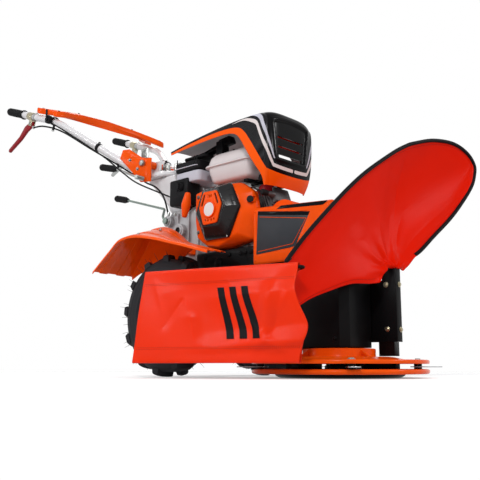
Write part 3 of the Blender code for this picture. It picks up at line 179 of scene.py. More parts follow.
def maths(tree: NodeTree, operation: str, first: object, second: object = 0.0) -> NodeSocket:
    """Add a Math node whose operands are sockets or numbers, and return its output."""
    node = add_node(tree, "Math", {"operation": operation})
    for socket, value in zip(node.inputs, (first, second)):
        feed(tree, socket, value)
    return node.outputs[0]


def noise_of(tree: NodeTree, vector: object, scale: object, detail: float = 3.0) -> NodeSocket:
    """Add a Noise texture at a scale and return its factor."""
    return add_node(tree, "TexNoise", Vector=vector, Scale=scale, Detail=detail).outputs["Fac"]


def split_xyz(tree: NodeTree, vector: object) -> NodeOutputs:
    """Split a vector into its X, Y and Z outputs."""
    return add_node(tree, "SeparateXYZ", Vector=vector).outputs


def group_node(tree: NodeTree, grain: "Grain", scale: float, vector: object) -> NodeOutputs:
    """Place a grain's node group at a scale and return its Height and Patches outputs."""
    return add_node(tree, "Group", {"node_tree": GROUPS[grain]}, Scale=scale, Vector=vector).outputs


def add_bump(tree: NodeTree, height: object, strength: float, depth: float) -> NodeSocket:
    """Add a Bump node over a height and return its normal."""
    return add_node(tree, "Bump", Strength=strength, Distance=depth, Height=height).outputs["Normal"]


def end_group(tree: NodeTree, end: Node, height: object, patches: object) -> NodeTree:
    """Feed a group's Height and Patches outputs and return the group."""
    feed(tree, end.inputs["Height"], height)
    feed(tree, end.inputs["Patches"], patches)
    return tree


def mix_colours(tree: NodeTree, share: object, low: object, high: object, blend: str = "MIX") -> NodeSocket:
    """Mix two colours by a share and return the result."""
    mix = add_node(tree, "Mix", {"data_type": "RGBA", "blend_type": blend}, Factor=share, A=low, B=high)
    return mix.outputs["Result"]


def build_isotropic_grain(name: str, coarse: float) -> NodeTree:
    """Build a grain of two noises: a fine one, and one that is coarser by a factor."""
    tree, end, vector, scale = start_group(name, 900.0)
    fine = noise_of(tree, vector, scale)
    broad = noise_of(tree, vector, maths(tree, "MULTIPLY", scale, coarse))
    height = maths(tree, "ADD", maths(tree, "MULTIPLY", fine, 0.6), maths(tree, "MULTIPLY", broad, 0.4))
    return end_group(tree, end, height, noise_of(tree, vector, 22.0))


def build_brushed(name: str) -> NodeTree:
    """Build fine lines that run along X, as on ground or zinc-plated steel."""
    tree, end, vector, scale = start_group(name, 500.0)
    stretched = add_node(tree, "Mapping", Scale=(0.04, 1.0, 1.0), Vector=vector).outputs["Vector"]
    return end_group(tree, end, noise_of(tree, stretched, scale, 2.0), noise_of(tree, vector, 30.0))


def build_weave(name: str) -> NodeTree:
    """Build a plain weave that follows a UV map in metres, with the cloth's soft creases."""
    tree, end, vector, scale = start_group(name, 900.0)
    parts = split_xyz(tree, vector)
    threads = [
        maths(tree, "SINE", maths(tree, "MULTIPLY", parts[axis], maths(tree, "MULTIPLY", scale, math.pi)))
        for axis in ("X", "Y")]
    weave = maths(tree, "MULTIPLY", *threads)
    creases = maths(tree, "MULTIPLY", noise_of(tree, vector, 14.0, 4.0), 6.0)
    return end_group(tree, end, maths(tree, "ADD", weave, creases), noise_of(tree, vector, 9.0))


def build_twill(name: str) -> NodeTree:
    """Build the diagonal check of a carbon-look film on Object coordinates."""
    tree, end, vector, scale = start_group(name, 700.0)
    parts = split_xyz(tree, vector)
    ways = [maths(tree, step, maths(tree, step, parts["X"], parts["Y"]), parts["Z"]) for step in ("ADD", "SUBTRACT")]
    check = maths(tree, "MULTIPLY", *[maths(tree, "SINE", maths(tree, "MULTIPLY", way, scale)) for way in ways])
    return end_group(tree, end, check, maths(tree, "GREATER_THAN", check, 0.0))


GROUPS: dict[Grain, NodeTree] = {
    grain: build(grain.value, *coarse) for grain, build, *coarse in ((Grain.PEEL, build_isotropic_grain, 0.35),
    (Grain.CAST, build_isotropic_grain, 0.15), (Grain.MOULD, build_isotropic_grain, 0.5),
    (Grain.BRUSHED, build_brushed), (Grain.CLOTH, build_weave), (Grain.TWILL, build_twill))}


# Finishes


def start_material(name: str) -> tuple:
    """Start a material and return it with its tree and its Principled shader."""
    mat = bpy.data.materials.new(name)
    mat.use_nodes = True
    return mat, mat.node_tree, mat.node_tree.nodes["Principled BSDF"]


@dataclass(frozen=True)
class Finish:
    """A material finish: its colour, gloss, fine grain and the way that its tone wanders."""

    name: str
    slot: str
    colour: tuple[float, float, float]
    roughness: float
    metallic: float = 0.0
    coat: float = 0.0
    grain: Grain = Grain.PEEL
    grain_scale: float = 900.0
    grain_depth: float = 0.0002
    tone: float = 0.08
    gloss_wander: float = 0.1
    uses_uv: bool = False
    dark: Optional[tuple[float, float, float]] = None
    specular: float = 0.3

    def material(self) -> Material:
        """Return the finish's material, which is built once."""
        found = bpy.data.materials.get(self.name)
        if found:
            return found
        mat, tree, shader = start_material(self.name)
        for label, value in (
                ("Metallic", self.metallic), ("Coat Weight", self.coat), ("Coat Roughness", 0.06),
                ("Specular IOR Level", self.specular)):
            shader.inputs[label].default_value = value
        vector = add_node(tree, "TexCoord").outputs["UV" if self.uses_uv else "Object"]
        grain = group_node(tree, self.grain, self.grain_scale, vector)
        low = self.dark or tuple(c * (1.0 - self.tone * 2) for c in self.colour)
        high = self.colour if self.dark else tuple(min(1.0, c * (1.0 + self.tone)) for c in self.colour)
        feed(tree, shader.inputs["Base Color"], mix_colours(tree, grain["Patches"], (*low, 1), (*high, 1)))
        wander = maths(tree, "MULTIPLY", grain["Patches"], self.gloss_wander)
        feed(tree, shader.inputs["Roughness"], maths(tree, "ADD", wander, self.roughness - self.gloss_wander / 2))
        feed(tree, shader.inputs["Normal"], add_bump(tree, grain["Height"], 0.6, self.grain_depth))
        return mat


ORANGE_PAINT = Finish("orange_enamel", "orange_paint", (0.84, 0.084, 0.003), 0.2, specular=0.07)
ORANGE_PLASTIC = Finish(
    "orange_moulding", "orange_plastic", (0.83, 0.08, 0.003), 0.22, grain=Grain.MOULD, grain_scale=1400.0,
    specular=0.06)
WHITE_PAINT = Finish("white_enamel", "white_paint", (0.66, 0.65, 0.66), 0.26, coat=0.25, tone=0.03)
TANK_SHELL = Finish("warm_white_tank", "tank_shell", (0.6, 0.545, 0.545), 0.22, coat=0.25, tone=0.03)
BLACK_PAINT = Finish("black_enamel", "black_paint", (0.0045, 0.0045, 0.005), 0.3, specular=0.06)
BLACK_PLASTIC = Finish(
    "black_moulding", "black_plastic", (0.01, 0.01, 0.011), 0.32, grain=Grain.MOULD, grain_scale=1600.0, specular=0.045)
GLOSS_BLACK = Finish(
    "gloss_black_moulding", "hood_plastic", (0.004, 0.004, 0.005), 0.13, specular=0.06, grain=Grain.MOULD,
    grain_scale=500.0, grain_depth=0.00005)
COVER_BLACK = Finish(
    "starter_cover_black", "black_plastic", (0.014, 0.014, 0.015), 0.17, specular=0.16, grain=Grain.MOULD,
    grain_scale=500.0, grain_depth=0.00005)
GREY_PLASTIC = Finish(
    "milky_grey_moulding", "grey_plastic", (0.47, 0.465, 0.52), 0.32, grain=Grain.MOULD, grain_scale=1200.0,
    specular=0.2)
INNER_GREY = Finish(
    "hood_inner_grey", "hood_plastic", (0.4, 0.36, 0.37), 0.42, grain=Grain.MOULD, grain_scale=1100.0, specular=0.1)
RED_PLASTIC = Finish(
    "red_moulding", "red_plastic", (0.26, 0.008, 0.014), 0.34, grain=Grain.MOULD, grain_scale=1400.0, specular=0.1)
# The head's cast alloy, given a much darker colour than the crankcase's.
HEAD_ALLOY = Finish(
    "dark_head_alloy", "cast_alloy", (0.085, 0.083, 0.085), 0.42, metallic=0.3, grain=Grain.CAST, grain_scale=700.0,
    grain_depth=0.0006, tone=0.2)
CAST_ALLOY = Finish(
    "sand_cast_alloy", "cast_alloy", (0.4, 0.39, 0.4), 0.44, metallic=0.35, grain=Grain.CAST, grain_scale=700.0,
    grain_depth=0.0006, tone=0.14)
ZINC = Finish("bright_zinc", "zinc_plate", (0.4, 0.41, 0.4), 0.3, metallic=1.0, grain=Grain.BRUSHED)
DARK_ZINC = Finish("dulled_zinc", "zinc_plate", (0.17, 0.17, 0.165), 0.36, metallic=1.0, grain=Grain.BRUSHED)
GREEN_ZINC = Finish("olive_zinc", "zinc_plate", (0.21, 0.26, 0.235), 0.34, metallic=1.0, grain=Grain.BRUSHED)
YELLOW_ZINC = Finish("yellow_zinc", "zinc_plate", (0.4, 0.36, 0.25), 0.32, metallic=1.0, grain=Grain.BRUSHED)
STEEL = Finish(
    "ground_steel", "bright_steel", (0.4, 0.4, 0.41), 0.28, metallic=1.0, grain=Grain.BRUSHED, grain_scale=700.0)
TYRE_RUBBER = Finish(
    "lugged_rubber", "tyre_rubber", (0.024, 0.0235, 0.026), 0.58, grain=Grain.CAST, grain_scale=500.0,
    grain_depth=0.0004, gloss_wander=0.25, specular=0.05)
SOFT_RUBBER = Finish(
    "soft_rubber", "black_rubber", (0.014, 0.014, 0.0145), 0.5, grain=Grain.MOULD, grain_scale=1500.0, specular=0.04)
CANVAS = Finish(
    "coated_canvas", "canvas", (0.74, 0.024, 0.001), 0.2, grain=Grain.CLOTH, grain_scale=900.0, grain_depth=0.0001,
    tone=0.04, uses_uv=True, specular=0.11)
# Painted shade: a darker, redder copy of the coated canvas, which stands for the shade that the hoop's cloth lies in.
SHADED_HOOP_CANVAS = Finish(
    "hoop_canvas_painted_shade", "canvas", (0.7, 0.01, 0.0008), 0.24, grain=Grain.CLOTH, grain_scale=900.0,
    grain_depth=0.0001, tone=0.05, uses_uv=True, specular=0.035)
CANVAS_BLACK = Finish(
    "black_binding", "canvas", (0.007, 0.006, 0.007), 0.5, grain=Grain.MOULD, grain_scale=900.0, grain_depth=0.0003,
    specular=0.06)
DARK_PANEL = Finish(
    "charcoal_panel", "black_plastic", (0.04, 0.044, 0.05), 0.3, grain=Grain.MOULD, grain_scale=1400.0, specular=0.08)
LABEL_WHITE = Finish("blank_boss_disc", "white_paint", (0.66, 0.63, 0.63), 0.25, tone=0.02, specular=0.2)
BAFFLE_RED = Finish("red_orange_baffle", "orange_plastic", (0.86, 0.03, 0.008), 0.4, grain=Grain.MOULD, specular=0.05)

NODE_FINISH: dict[str, Finish] = {
    finish.slot: finish for finish in (ORANGE_PAINT, ORANGE_PLASTIC, WHITE_PAINT, TANK_SHELL, BLACK_PAINT,
    BLACK_PLASTIC, GREY_PLASTIC, RED_PLASTIC, CAST_ALLOY, ZINC, STEEL, TYRE_RUBBER, SOFT_RUBBER, CANVAS, GLOSS_BLACK)}


# Mesh tools


def mm(*rows: Sequence[float]) -> tuple:
    """Return rows of millimetres in metres."""
    return tuple(tuple(value / 1000 for value in row) for row in rows)


@dataclass(frozen=True)
class Bend:
    """A stretch over which a piece passes from one body to another, across their joint."""

    first: Body
    last: Body
    start: Point
    end: Point


def settle(
        bm: BMesh, name: str, finish: Finish, replaces: Iterable[str] = (), body: Body = Body.CHASSIS,
        smooth: float = 35.0, weld: float = 0.00001, turn_out: bool = True, bend: Optional[Bend] = None) -> Object:
    """Finish a piece: move it into the shared frame, smooth it, dress it and let it ride; a piece with a bend is left
    on no body, with its transform baked.

    Args:
        bm: The piece's mesh in the tractor's own frame, which is freed here.
        name: The piece's name.
        finish: Its finish.
        replaces: The CAD nodes that it stands for.
        body: The body that carries it.
        smooth: The edge angle in degrees past which an edge stays sharp.
        weld: The distance under which points are merged.
        turn_out: Whether the faces are turned outwards first.
        bend: The stretch between two bodies, for a piece that crosses a joint.

    Returns:
        The piece.
    """
    if weld:
        bmesh.ops.remove_doubles(bm, verts=bm.verts, dist=weld)
    if turn_out:
        bmesh.ops.recalc_face_normals(bm, faces=bm.faces)
    bmesh.ops.translate(bm, verts=bm.verts, vec=SHIFT)
    mesh = bpy.data.meshes.new(name)
    bm.to_mesh(mesh)
    bm.free()
    mesh.shade_smooth()
    mesh.set_sharp_from_angle(angle=math.radians(smooth))
    mesh.materials.append(finish.material())
    piece = bpy.data.objects.new(name, mesh)
    bpy.context.scene.collection.objects.link(piece)
    if bend:
        Vector(bend.start) + SHIFT
        Vector(bend.end) + SHIFT
        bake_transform(piece)
    else:
        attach(piece, body.value)
    nodes = list(replaces)
    if nodes:
        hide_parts(*nodes)
    LOG.info("%s rides on %s, %d faces", name, body.value, len(mesh.polygons))
    return piece


def aim(at: Point, direction: Point) -> Matrix:
    """Return the matrix that puts +Z along a direction at a point."""
    return Matrix.Translation(Vector(at)) @ Vector(direction).to_track_quat("Z", "Y").to_matrix().to_4x4()


def add_spun(bm: BMesh, profile: Profile, at: Point, axis: Point, steps: int, closed: bool = False) -> BMesh:
    """Spin a profile of (radius, height) points about an axis, and return the mesh that it is added to."""
    part = bmesh.new()
    rings = [part.verts.new((radius, 0, height)) for radius, height in profile]
    pairs = list(zip(rings, rings[1:])) + ([(rings[-1], rings[0])] if closed else [])
    edges = [part.edges.new(pair) for pair in pairs]
    bmesh.ops.spin(
        part, geom=rings + edges, cent=(0, 0, 0), axis=(0, 0, 1), angle=math.tau, steps=steps, use_merge=True)
    bmesh.ops.remove_doubles(part, verts=part.verts, dist=0.000005)
    bmesh.ops.recalc_face_normals(part, faces=part.faces)
    bmesh.ops.transform(part, matrix=aim(at, axis), verts=part.verts)
    return join(bm, part)


def join(bm: BMesh, part: BMesh) -> BMesh:
    """Add a part to a mesh, free the part and return the mesh."""
    shell = bpy.data.meshes.new("joined")
    part.to_mesh(shell)
    part.free()
    bm.from_mesh(shell)
    bpy.data.meshes.remove(shell)
    return bm


def round_edges(bm: BMesh, edges: Sequence, width: float, segments: int) -> None:
    """Round edges of a mesh by a width."""
    bmesh.ops.bevel(
        bm, geom=edges, offset=width, offset_type="OFFSET", affect="EDGES", segments=segments, profile=0.5,
        material=-1, clamp_overlap=True)


def skin_rings(bm: BMesh, rings: Sequence[list]) -> None:
    """Skin a row of closed edge rings and cap its ends."""
    for first, second in zip(rings, rings[1:]):
        bmesh.ops.bridge_loops(bm, edges=first + second)
    for ring in (rings[0], rings[-1]):
        bmesh.ops.contextual_create(bm, geom=ring)


def extrude_outline(bm: BMesh, points: Iterable[Point], step: Point) -> None:
    """Extrude a flat outline by a step into a closed slab."""
    face = bm.faces.new([bm.verts.new(point) for point in points])
    grown = bmesh.ops.extrude_face_region(bm, geom=[face])
    top = [item for item in grown["geom"] if isinstance(item, BMVert)]
    bmesh.ops.translate(bm, verts=top, vec=step)
    bmesh.ops.recalc_face_normals(bm, faces=bm.faces)


def add_cylinder(bm: BMesh, start: Point, end: Point, radius: float, sides: int, round_by: float = 0.0) -> BMesh:
    """Add a rod between two points, with its end edges rounded if asked."""
    start, end = Vector(start), Vector(end)
    length = (end - start).length
    profile = [(0, length / 2)]
    if round_by:
        profile += [
            (radius - round_by, length / 2), (radius - round_by * 0.3, length / 2 - round_by * 0.3),
            (radius, length / 2 - round_by), (radius, -length / 2 + round_by),
            (radius - round_by * 0.3, -length / 2 + round_by * 0.3), (radius - round_by, -length / 2)]
    else:
        profile += [(radius, length / 2), (radius, -length / 2)]
    profile.append((0, -length / 2))
    return add_spun(bm, profile, (start + end) / 2, end - start, sides)


def add_block(
        bm: BMesh, low: Point, high: Point, bevel: float = 0.0, segments: int = 3,
        turn: Optional[Matrix] = None) -> BMesh:
    """Add a box between two corners with rounded edges."""
    low, high = Vector(low), Vector(high)
    part = bmesh.new()
    bmesh.ops.create_cube(
        part, size=1, matrix=Matrix.Translation((low + high) / 2) @ Matrix.Diagonal((*(high - low), 1)))
    if bevel:
        round_edges(part, part.edges[:], bevel, segments)
    if turn:
        bmesh.ops.transform(part, matrix=turn, verts=part.verts)
    return join(bm, part)


def add_plate(
        bm: BMesh, outline: Sequence[tuple[float, float]], thickness: float, seat: Matrix, bevel: float = 0.0,
        segments: int = 2) -> BMesh:
    """Add a flat plate: an outline in the seat's XY plane, thick along its Z, centred on it."""
    part = bmesh.new()
    extrude_outline(part, [(u, v, -thickness / 2) for u, v in outline], (0, 0, thickness))
    if bevel:
        rims = [e for e in part.edges if abs(e.verts[0].co.z - e.verts[1].co.z) < thickness / 2]
        round_edges(part, rims, bevel, segments)
    bmesh.ops.transform(part, matrix=seat, verts=part.verts)
    return join(bm, part)


SIDE_PLANE = Matrix(((0, 0, 1, 0), (1, 0, 0, 0), (0, 1, 0, 0), (0, 0, 0, 1)))


def smooth_path(points: Sequence[Point], per_span: int) -> list[Vector]:
    """Return points of a Catmull-Rom curve through the given ones."""
    knots = [Vector(p) for p in points]
    padded = [knots[0] * 2 - knots[1], *knots, knots[-1] * 2 - knots[-2]]
    path = []
    for a, b, c, d in zip(padded, padded[1:], padded[2:], padded[3:]):
        for i in range(per_span):
            t = i / per_span
            path.append(
                0.5 * ((2 * b) + (c - a) * t + (2 * a - 5 * b + 4 * c - d) * t * t + (3 * b - a - 3 * c + d) * t ** 3))
    return path + [knots[-1]]


def bent_path(points: Sequence[Point], radius: float, steps: int) -> list[Vector]:
    """Return a route with each inner corner replaced by a smooth bend."""
    knots = [Vector(p) for p in points]
    route = [knots[0]]
    for before, corner, after in zip(knots, knots[1:], knots[2:]):
        reach = min(radius, (corner - before).length / 2.1, (after - corner).length / 2.1)
        first = corner + (before - corner).normalized() * reach
        last = corner + (after - corner).normalized() * reach
        route += [
            first * (1 - t) ** 2 + corner * 2 * t * (1 - t) + last * t ** 2
            for t in (i / steps for i in range(steps + 1))]
    return route + [knots[-1]]


def add_bar(bm: BMesh, path: Sequence[Vector], radius: float, resolution: int) -> BMesh:
    """Add a round bar, tube or cable along a path."""
    curve = bpy.data.curves.new("bar", "CURVE")
    curve.dimensions = "3D"
    curve.bevel_depth = radius
    curve.bevel_resolution = resolution
    curve.use_fill_caps = True
    spline = curve.splines.new("POLY")
    spline.points.add(len(path) - 1)
    for point, place in zip(spline.points, path):
        point.co = (*place, 1)
    holder = bpy.data.objects.new("bar", curve)
    bpy.context.scene.collection.objects.link(holder)
    graph = bpy.context.evaluated_depsgraph_get()
    mesh = bpy.data.meshes.new_from_object(holder.evaluated_get(graph))
    part = bmesh.new()
    part.from_mesh(mesh)
    bmesh.ops.remove_doubles(part, verts=part.verts, dist=0.00001)
    bmesh.ops.recalc_face_normals(part, faces=part.faces)
    bpy.data.objects.remove(holder, do_unlink=True)
    bpy.data.curves.remove(curve)
    bpy.data.meshes.remove(mesh)
    return join(bm, part)


def add_surface(
        bm: BMesh, across: int, along: int, place: Callable[[float, float], Vector],
        uv: Optional[Callable[[float, float], tuple[float, float]]] = None) -> BMesh:
    """Add an open sheet: a grid whose points a function places.

    Args:
        bm: The mesh to add to.
        across: The number of cells for u, which runs from 0 to 1.
        along: The number of cells for v, which runs from 0 to 1.
        place: Gives the point at (u, v).
        uv: Gives the point's UV, if the piece's finish needs one.

    Returns:
        The mesh.
    """
    part = bmesh.new()
    bmesh.ops.create_grid(part, x_segments=across, y_segments=along, size=0.5)
    layer = part.loops.layers.uv.new("cut")
    spots = {vert: (vert.co.x + 0.5, vert.co.y + 0.5) for vert in part.verts}
    for face in part.faces:
        for loop in face.loops:
            u, v = spots[loop.vert]
            loop[layer].uv = uv(u, v) if uv else (u, v)
    for vert, (u, v) in spots.items():
        vert.co = place(u, v)
    return join(bm, part)


def thicken(piece: Object, thickness: float) -> None:
    """Give a sheet its thickness."""
    shell = piece.modifiers.new("thickness", "SOLIDIFY")
    shell.thickness = thickness
    shell.offset = 0.0
    shell.use_even_offset = True


def refined(
        node: str, name: str, finish: Finish, width: float, segments: int = 2, angle: float = 28.0,
        smooth: float = 40.0, body: Body = Body.CHASSIS) -> Object:
    """Stand a copy of a CAD node with rounded edges in its place.

    Args:
        node: The CAD node.
        name: The new piece's name.
        finish: Its finish.
        width: The width of the rounding.
        segments: The segments of the rounding.
        angle: The angle in degrees past which an edge is rounded.
        smooth: The angle in degrees past which an edge stays sharp.
        body: The body that carries it.

    Returns:
        The piece.
    """
    bm = bmesh.new()
    bm.from_mesh(frame["nodes"][node].data)
    bmesh.ops.remove_doubles(bm, verts=bm.verts, dist=0.00002)
    bmesh.ops.dissolve_limit(bm, angle_limit=math.radians(1.5), verts=bm.verts, edges=bm.edges)
    edges = [e for e in bm.edges if len(e.link_faces) == 2 and e.calc_face_angle(0.0) > math.radians(angle)]
    round_edges(bm, edges, width, segments)
    bmesh.ops.translate(bm, verts=bm.verts, vec=-SHIFT)
    return settle(bm, name, finish, [node], body=body, smooth=smooth, turn_out=False)


def carve(piece: Object, cutter: BMesh) -> None:
    """Cut a shape out of a piece and apply the result."""
    bmesh.ops.recalc_face_normals(cutter, faces=cutter.faces)
    bmesh.ops.translate(cutter, verts=cutter.verts, vec=SHIFT)
    mesh = bpy.data.meshes.new("cutter")
    cutter.to_mesh(mesh)
    cutter.free()
    tool = bpy.data.objects.new("cutter", mesh)
    bpy.context.scene.collection.objects.link(tool)
    step = piece.modifiers.new("carve", "BOOLEAN")
    step.operation = "DIFFERENCE"
    step.solver = "EXACT"
    step.object = tool
    graph = bpy.context.evaluated_depsgraph_get()
    shaped = bpy.data.meshes.new_from_object(piece.evaluated_get(graph))
    piece.modifiers.clear()
    shaped.name = piece.data.name
    piece.data = shaped
    bpy.data.objects.remove(tool, do_unlink=True)


def add_hex_bolt(bm: BMesh, at: Point, axis: Point, size: float, height: float = 0.0045) -> None:
    """Add a flanged hexagon bolt head on its washer, standing on a point along an axis."""
    add_spun(
        bm, [(0, 0.0012), (size * 1.35, 0.0012), (size * 1.45, 0.0008), (size * 1.45, -0.0006), (0, -0.0006)], at,
        axis, 24)
    top = [(0, height), (size * 0.8, height), (size, height - 0.0008), (size, 0.0004), (0, 0.0004)]
    add_spun(bm, top, at, axis, 6)


def add_screw(bm: BMesh, at: Point, axis: Point, size: float) -> None:
    """Add a domed screw head with a socket in its middle."""
    add_spun(
        bm, [(0, size * 0.25), (size * 0.42, size * 0.25), (size * 0.46, size * 0.62), (size * 0.75, size * 0.5),
        (size, size * 0.15), (size, -0.0006), (0, -0.0006)], at, axis, 20)


def fasteners(
        name: str, finish: Finish, places: Sequence[tuple], size: float, body: Body = Body.CHASSIS,
        screws: bool = False) -> Object:
    """Make a set of like bolts or screws, each given as a point and a direction."""
    bm = bmesh.new()
    for at, axis in places:
        if screws:
            add_screw(bm, at, axis, size)
        else:
            add_hex_bolt(bm, at, axis, size)
    return settle(bm, name, finish, body=body, smooth=30)


# Sub-assemblies


@dataclass
class Wheels:
    """The axle, the two lugged tyres and the two pressed rims."""

    track: float = 0.25
    tread_radius: float = 0.2071
    rim_radius: float = 0.1015
    bore_radius: float = 0.0125
    lug_count: int = 12
    hair_count: int = 44
    sidewall: tuple = mm(
        (101.8, 33), (104, 36.5), (109, 37.2), (116, 38.5), (120, 44), (124, 47.8), (126.2, 49.8), (129, 50),
        (131, 49), (140, 50), (150, 49.8), (158, 48.8), (160, 49.4), (162.5, 49.2), (164, 47.8), (176, 45.8),
        (184, 42), (189.5, 34.5), (191.8, 24), (192.2, 12))

    def build(self) -> None:
        """Build the axle and both wheels."""
        for name, side in SIDES:
            self.tyre(name, side)
            self.rim(name, side)
            self.wheel_bolts(name, side)
        self.axle()

    def lug(self) -> BMesh:
        """Shape one tread block about the axle: wide at the shoulder, with rounded edges."""
        block = bmesh.new()
        bmesh.ops.create_cube(block, size=1)
        round_edges(block, [e for e in block.edges if all(v.co.z > 0 for v in e.verts)], 0.13, 3)
        long_edges = [e for e in block.edges if abs(e.verts[0].co.x - e.verts[1].co.x) > 0.5]
        bmesh.ops.subdivide_edges(block, edges=long_edges, cuts=4, use_grid_fill=True)
        for vert in block.verts:
            t = vert.co.x + 0.5
            across = -0.0055 + t * 0.0525
            half = 0.0095 + 0.003 * t + 0.0075 * (0.5 - vert.co.z)
            drop = 0.007 * max(0.0, (t - 0.45) / 0.55) ** 2
            radius = self.tread_radius - drop - (0.5 - vert.co.z) * 0.0195
            turn = 0.115 * t ** 1.3 + vert.co.y * 2 * half / self.tread_radius
            vert.co = (across, radius * math.cos(turn), radius * math.sin(turn))
        return block

    def tyre(self, name: str, side: int) -> None:
        """Build a tyre: its ringed sidewalls, its slanted lugs and its moulding hairs."""
        bm = bmesh.new()
        half = list(self.sidewall)
        profile = half + [(r, -h) for r, h in reversed(half)]
        add_spun(bm, profile, (0, 0, 0), (1, 0, 0), 96, closed=True)
        block = self.lug()
        shape = bpy.data.meshes.new("lug")
        block.to_mesh(shape)
        block.free()
        for way in (-1, 1):
            for i in range(self.lug_count):
                turn = math.tau * (i + (0.5 if way > 0 else 0.0)) / self.lug_count
                part = bmesh.new()
                part.from_mesh(shape)
                bmesh.ops.transform(
                    part, matrix=Matrix.Rotation(turn, 4, "X") @ Matrix.Diagonal((way, 1, 1, 1)), verts=part.verts)
                bmesh.ops.recalc_face_normals(part, faces=part.faces)
                join(bm, part)
        bpy.data.meshes.remove(shape)
        bmesh.ops.translate(bm, verts=bm.verts, vec=(side * self.track, 0, AXLE_Z))
        settle(bm, f"tyre_{name}_rubber", TYRE_RUBBER, [f"tyre_{name}"], body=Body.WHEELS, turn_out=False)
        hairs = bmesh.new()
        for way in (-1, 1):
            for i in range(self.hair_count):
                turn = math.tau * (i + 0.35 * math.sin(i * 2.4)) / self.hair_count
                radius = (0.19, 0.181, 0.191, 0.193)[i % 4]
                height = (0.034, 0.043, 0.03, 0.02)[i % 4]
                root = Vector((way * height, radius * math.cos(turn), radius * math.sin(turn)))
                out = Vector((way * 0.55, math.cos(turn), math.sin(turn))).normalized()
                length = 0.024 + 0.008 * math.sin(i * 1.7) ** 2
                if root.z + AXLE_Z < 0.045:
                    length *= 0.3
                bmesh.ops.create_cone(
                    hairs, segments=5, radius1=0.0009, radius2=0.0004, depth=length, cap_ends=True,
                    matrix=aim(root + out * length / 2, out))
        bmesh.ops.translate(hairs, verts=hairs.verts, vec=(side * self.track, 0, AXLE_Z))
        settle(hairs, f"tyre_{name}_hairs", TYRE_RUBBER, body=Body.WHEELS)

    def rim(self, name: str, side: int) -> None:
        """Build a rim: the rolled well, the dished disc and the hub sleeve."""
        wall, half, edge = 0.004, 0.0375, self.rim_radius
        lip = mm((-4, -6), (-3, 0.5), (1, 3.5), (8, 4.2), (15, 4.6), (16.8, 3.6), (16, 2.2), (9, 1.6), (2, 1), (0, -2))
        profile = [
            *mm((26, 52), (26, 15), (30, 13.2), (52, 10), (78, 6), (88, 8)), (edge - wall - 0.002, 0.015),
            (edge - wall, 0.019), *[(edge + r, half + h) for r, h in lip],
            *[(edge + r, -half - h) for r, h in reversed(lip)], (edge - wall, 0.012), (edge - wall - 0.003, 0.0095),
            *mm((78, 0), (52, 4.5), (30, 8), (26, 6), (26, -80)), (self.bore_radius, -0.08), (self.bore_radius, 0.052)]
        settle(
            add_spun(bmesh.new(), profile, (side * self.track, 0, AXLE_Z), (side, 0, 0), 96, closed=True),
            f"rim_{name}_pressing", WHITE_PAINT, [f"rim_{name}"], body=Body.WHEELS)
        valve = bmesh.new()
        root = Vector((side * (self.track + 0.018), 0.052, AXLE_Z + 0.078))
        add_cylinder(valve, root, root + Vector((side * 0.02, 0, -0.004)), 0.0028, 20, 0.0008)
        add_cylinder(
            valve, root + Vector((side * 0.019, 0, -0.0038)), root + Vector((side * 0.027, 0, -0.0054)), 0.0038, 20,
            0.0012)
        settle(valve, f"valve_{name}", SOFT_RUBBER, body=Body.WHEELS)

    def wheel_bolts(self, name: str, side: int) -> None:
        """Build the four bolts of a wheel's disc and its hub pin."""
        places = []
        for i in range(4):
            turn = math.radians(45 + 90 * i)
            places.append(
                ((side * (self.track + 0.0095), 0.055 * math.cos(turn), AXLE_Z + 0.055 * math.sin(turn)), (side, 0, 0)))
        fasteners(f"wheel_bolts_{name}", ZINC, places, 0.0085, body=Body.WHEELS)
        bm = bmesh.new()
        at = side * (self.track + 0.04)
        add_cylinder(bm, (at, -0.033, AXLE_Z), (at, 0.033, AXLE_Z), 0.0042, 24, 0.001)
        settle(bm, f"hub_pin_{name}", ZINC, body=Body.WHEELS)

    def axle(self) -> None:
        """Build the axle with chamfered ends."""
        bm = bmesh.new()
        reach = self.track + 0.05
        add_cylinder(bm, (-reach, 0, AXLE_Z), (reach, 0, AXLE_Z), self.bore_radius - 0.0003, 48, 0.0015)
        settle(bm, "axle", STEEL, ["axle_shaft"], body=Body.WHEELS)


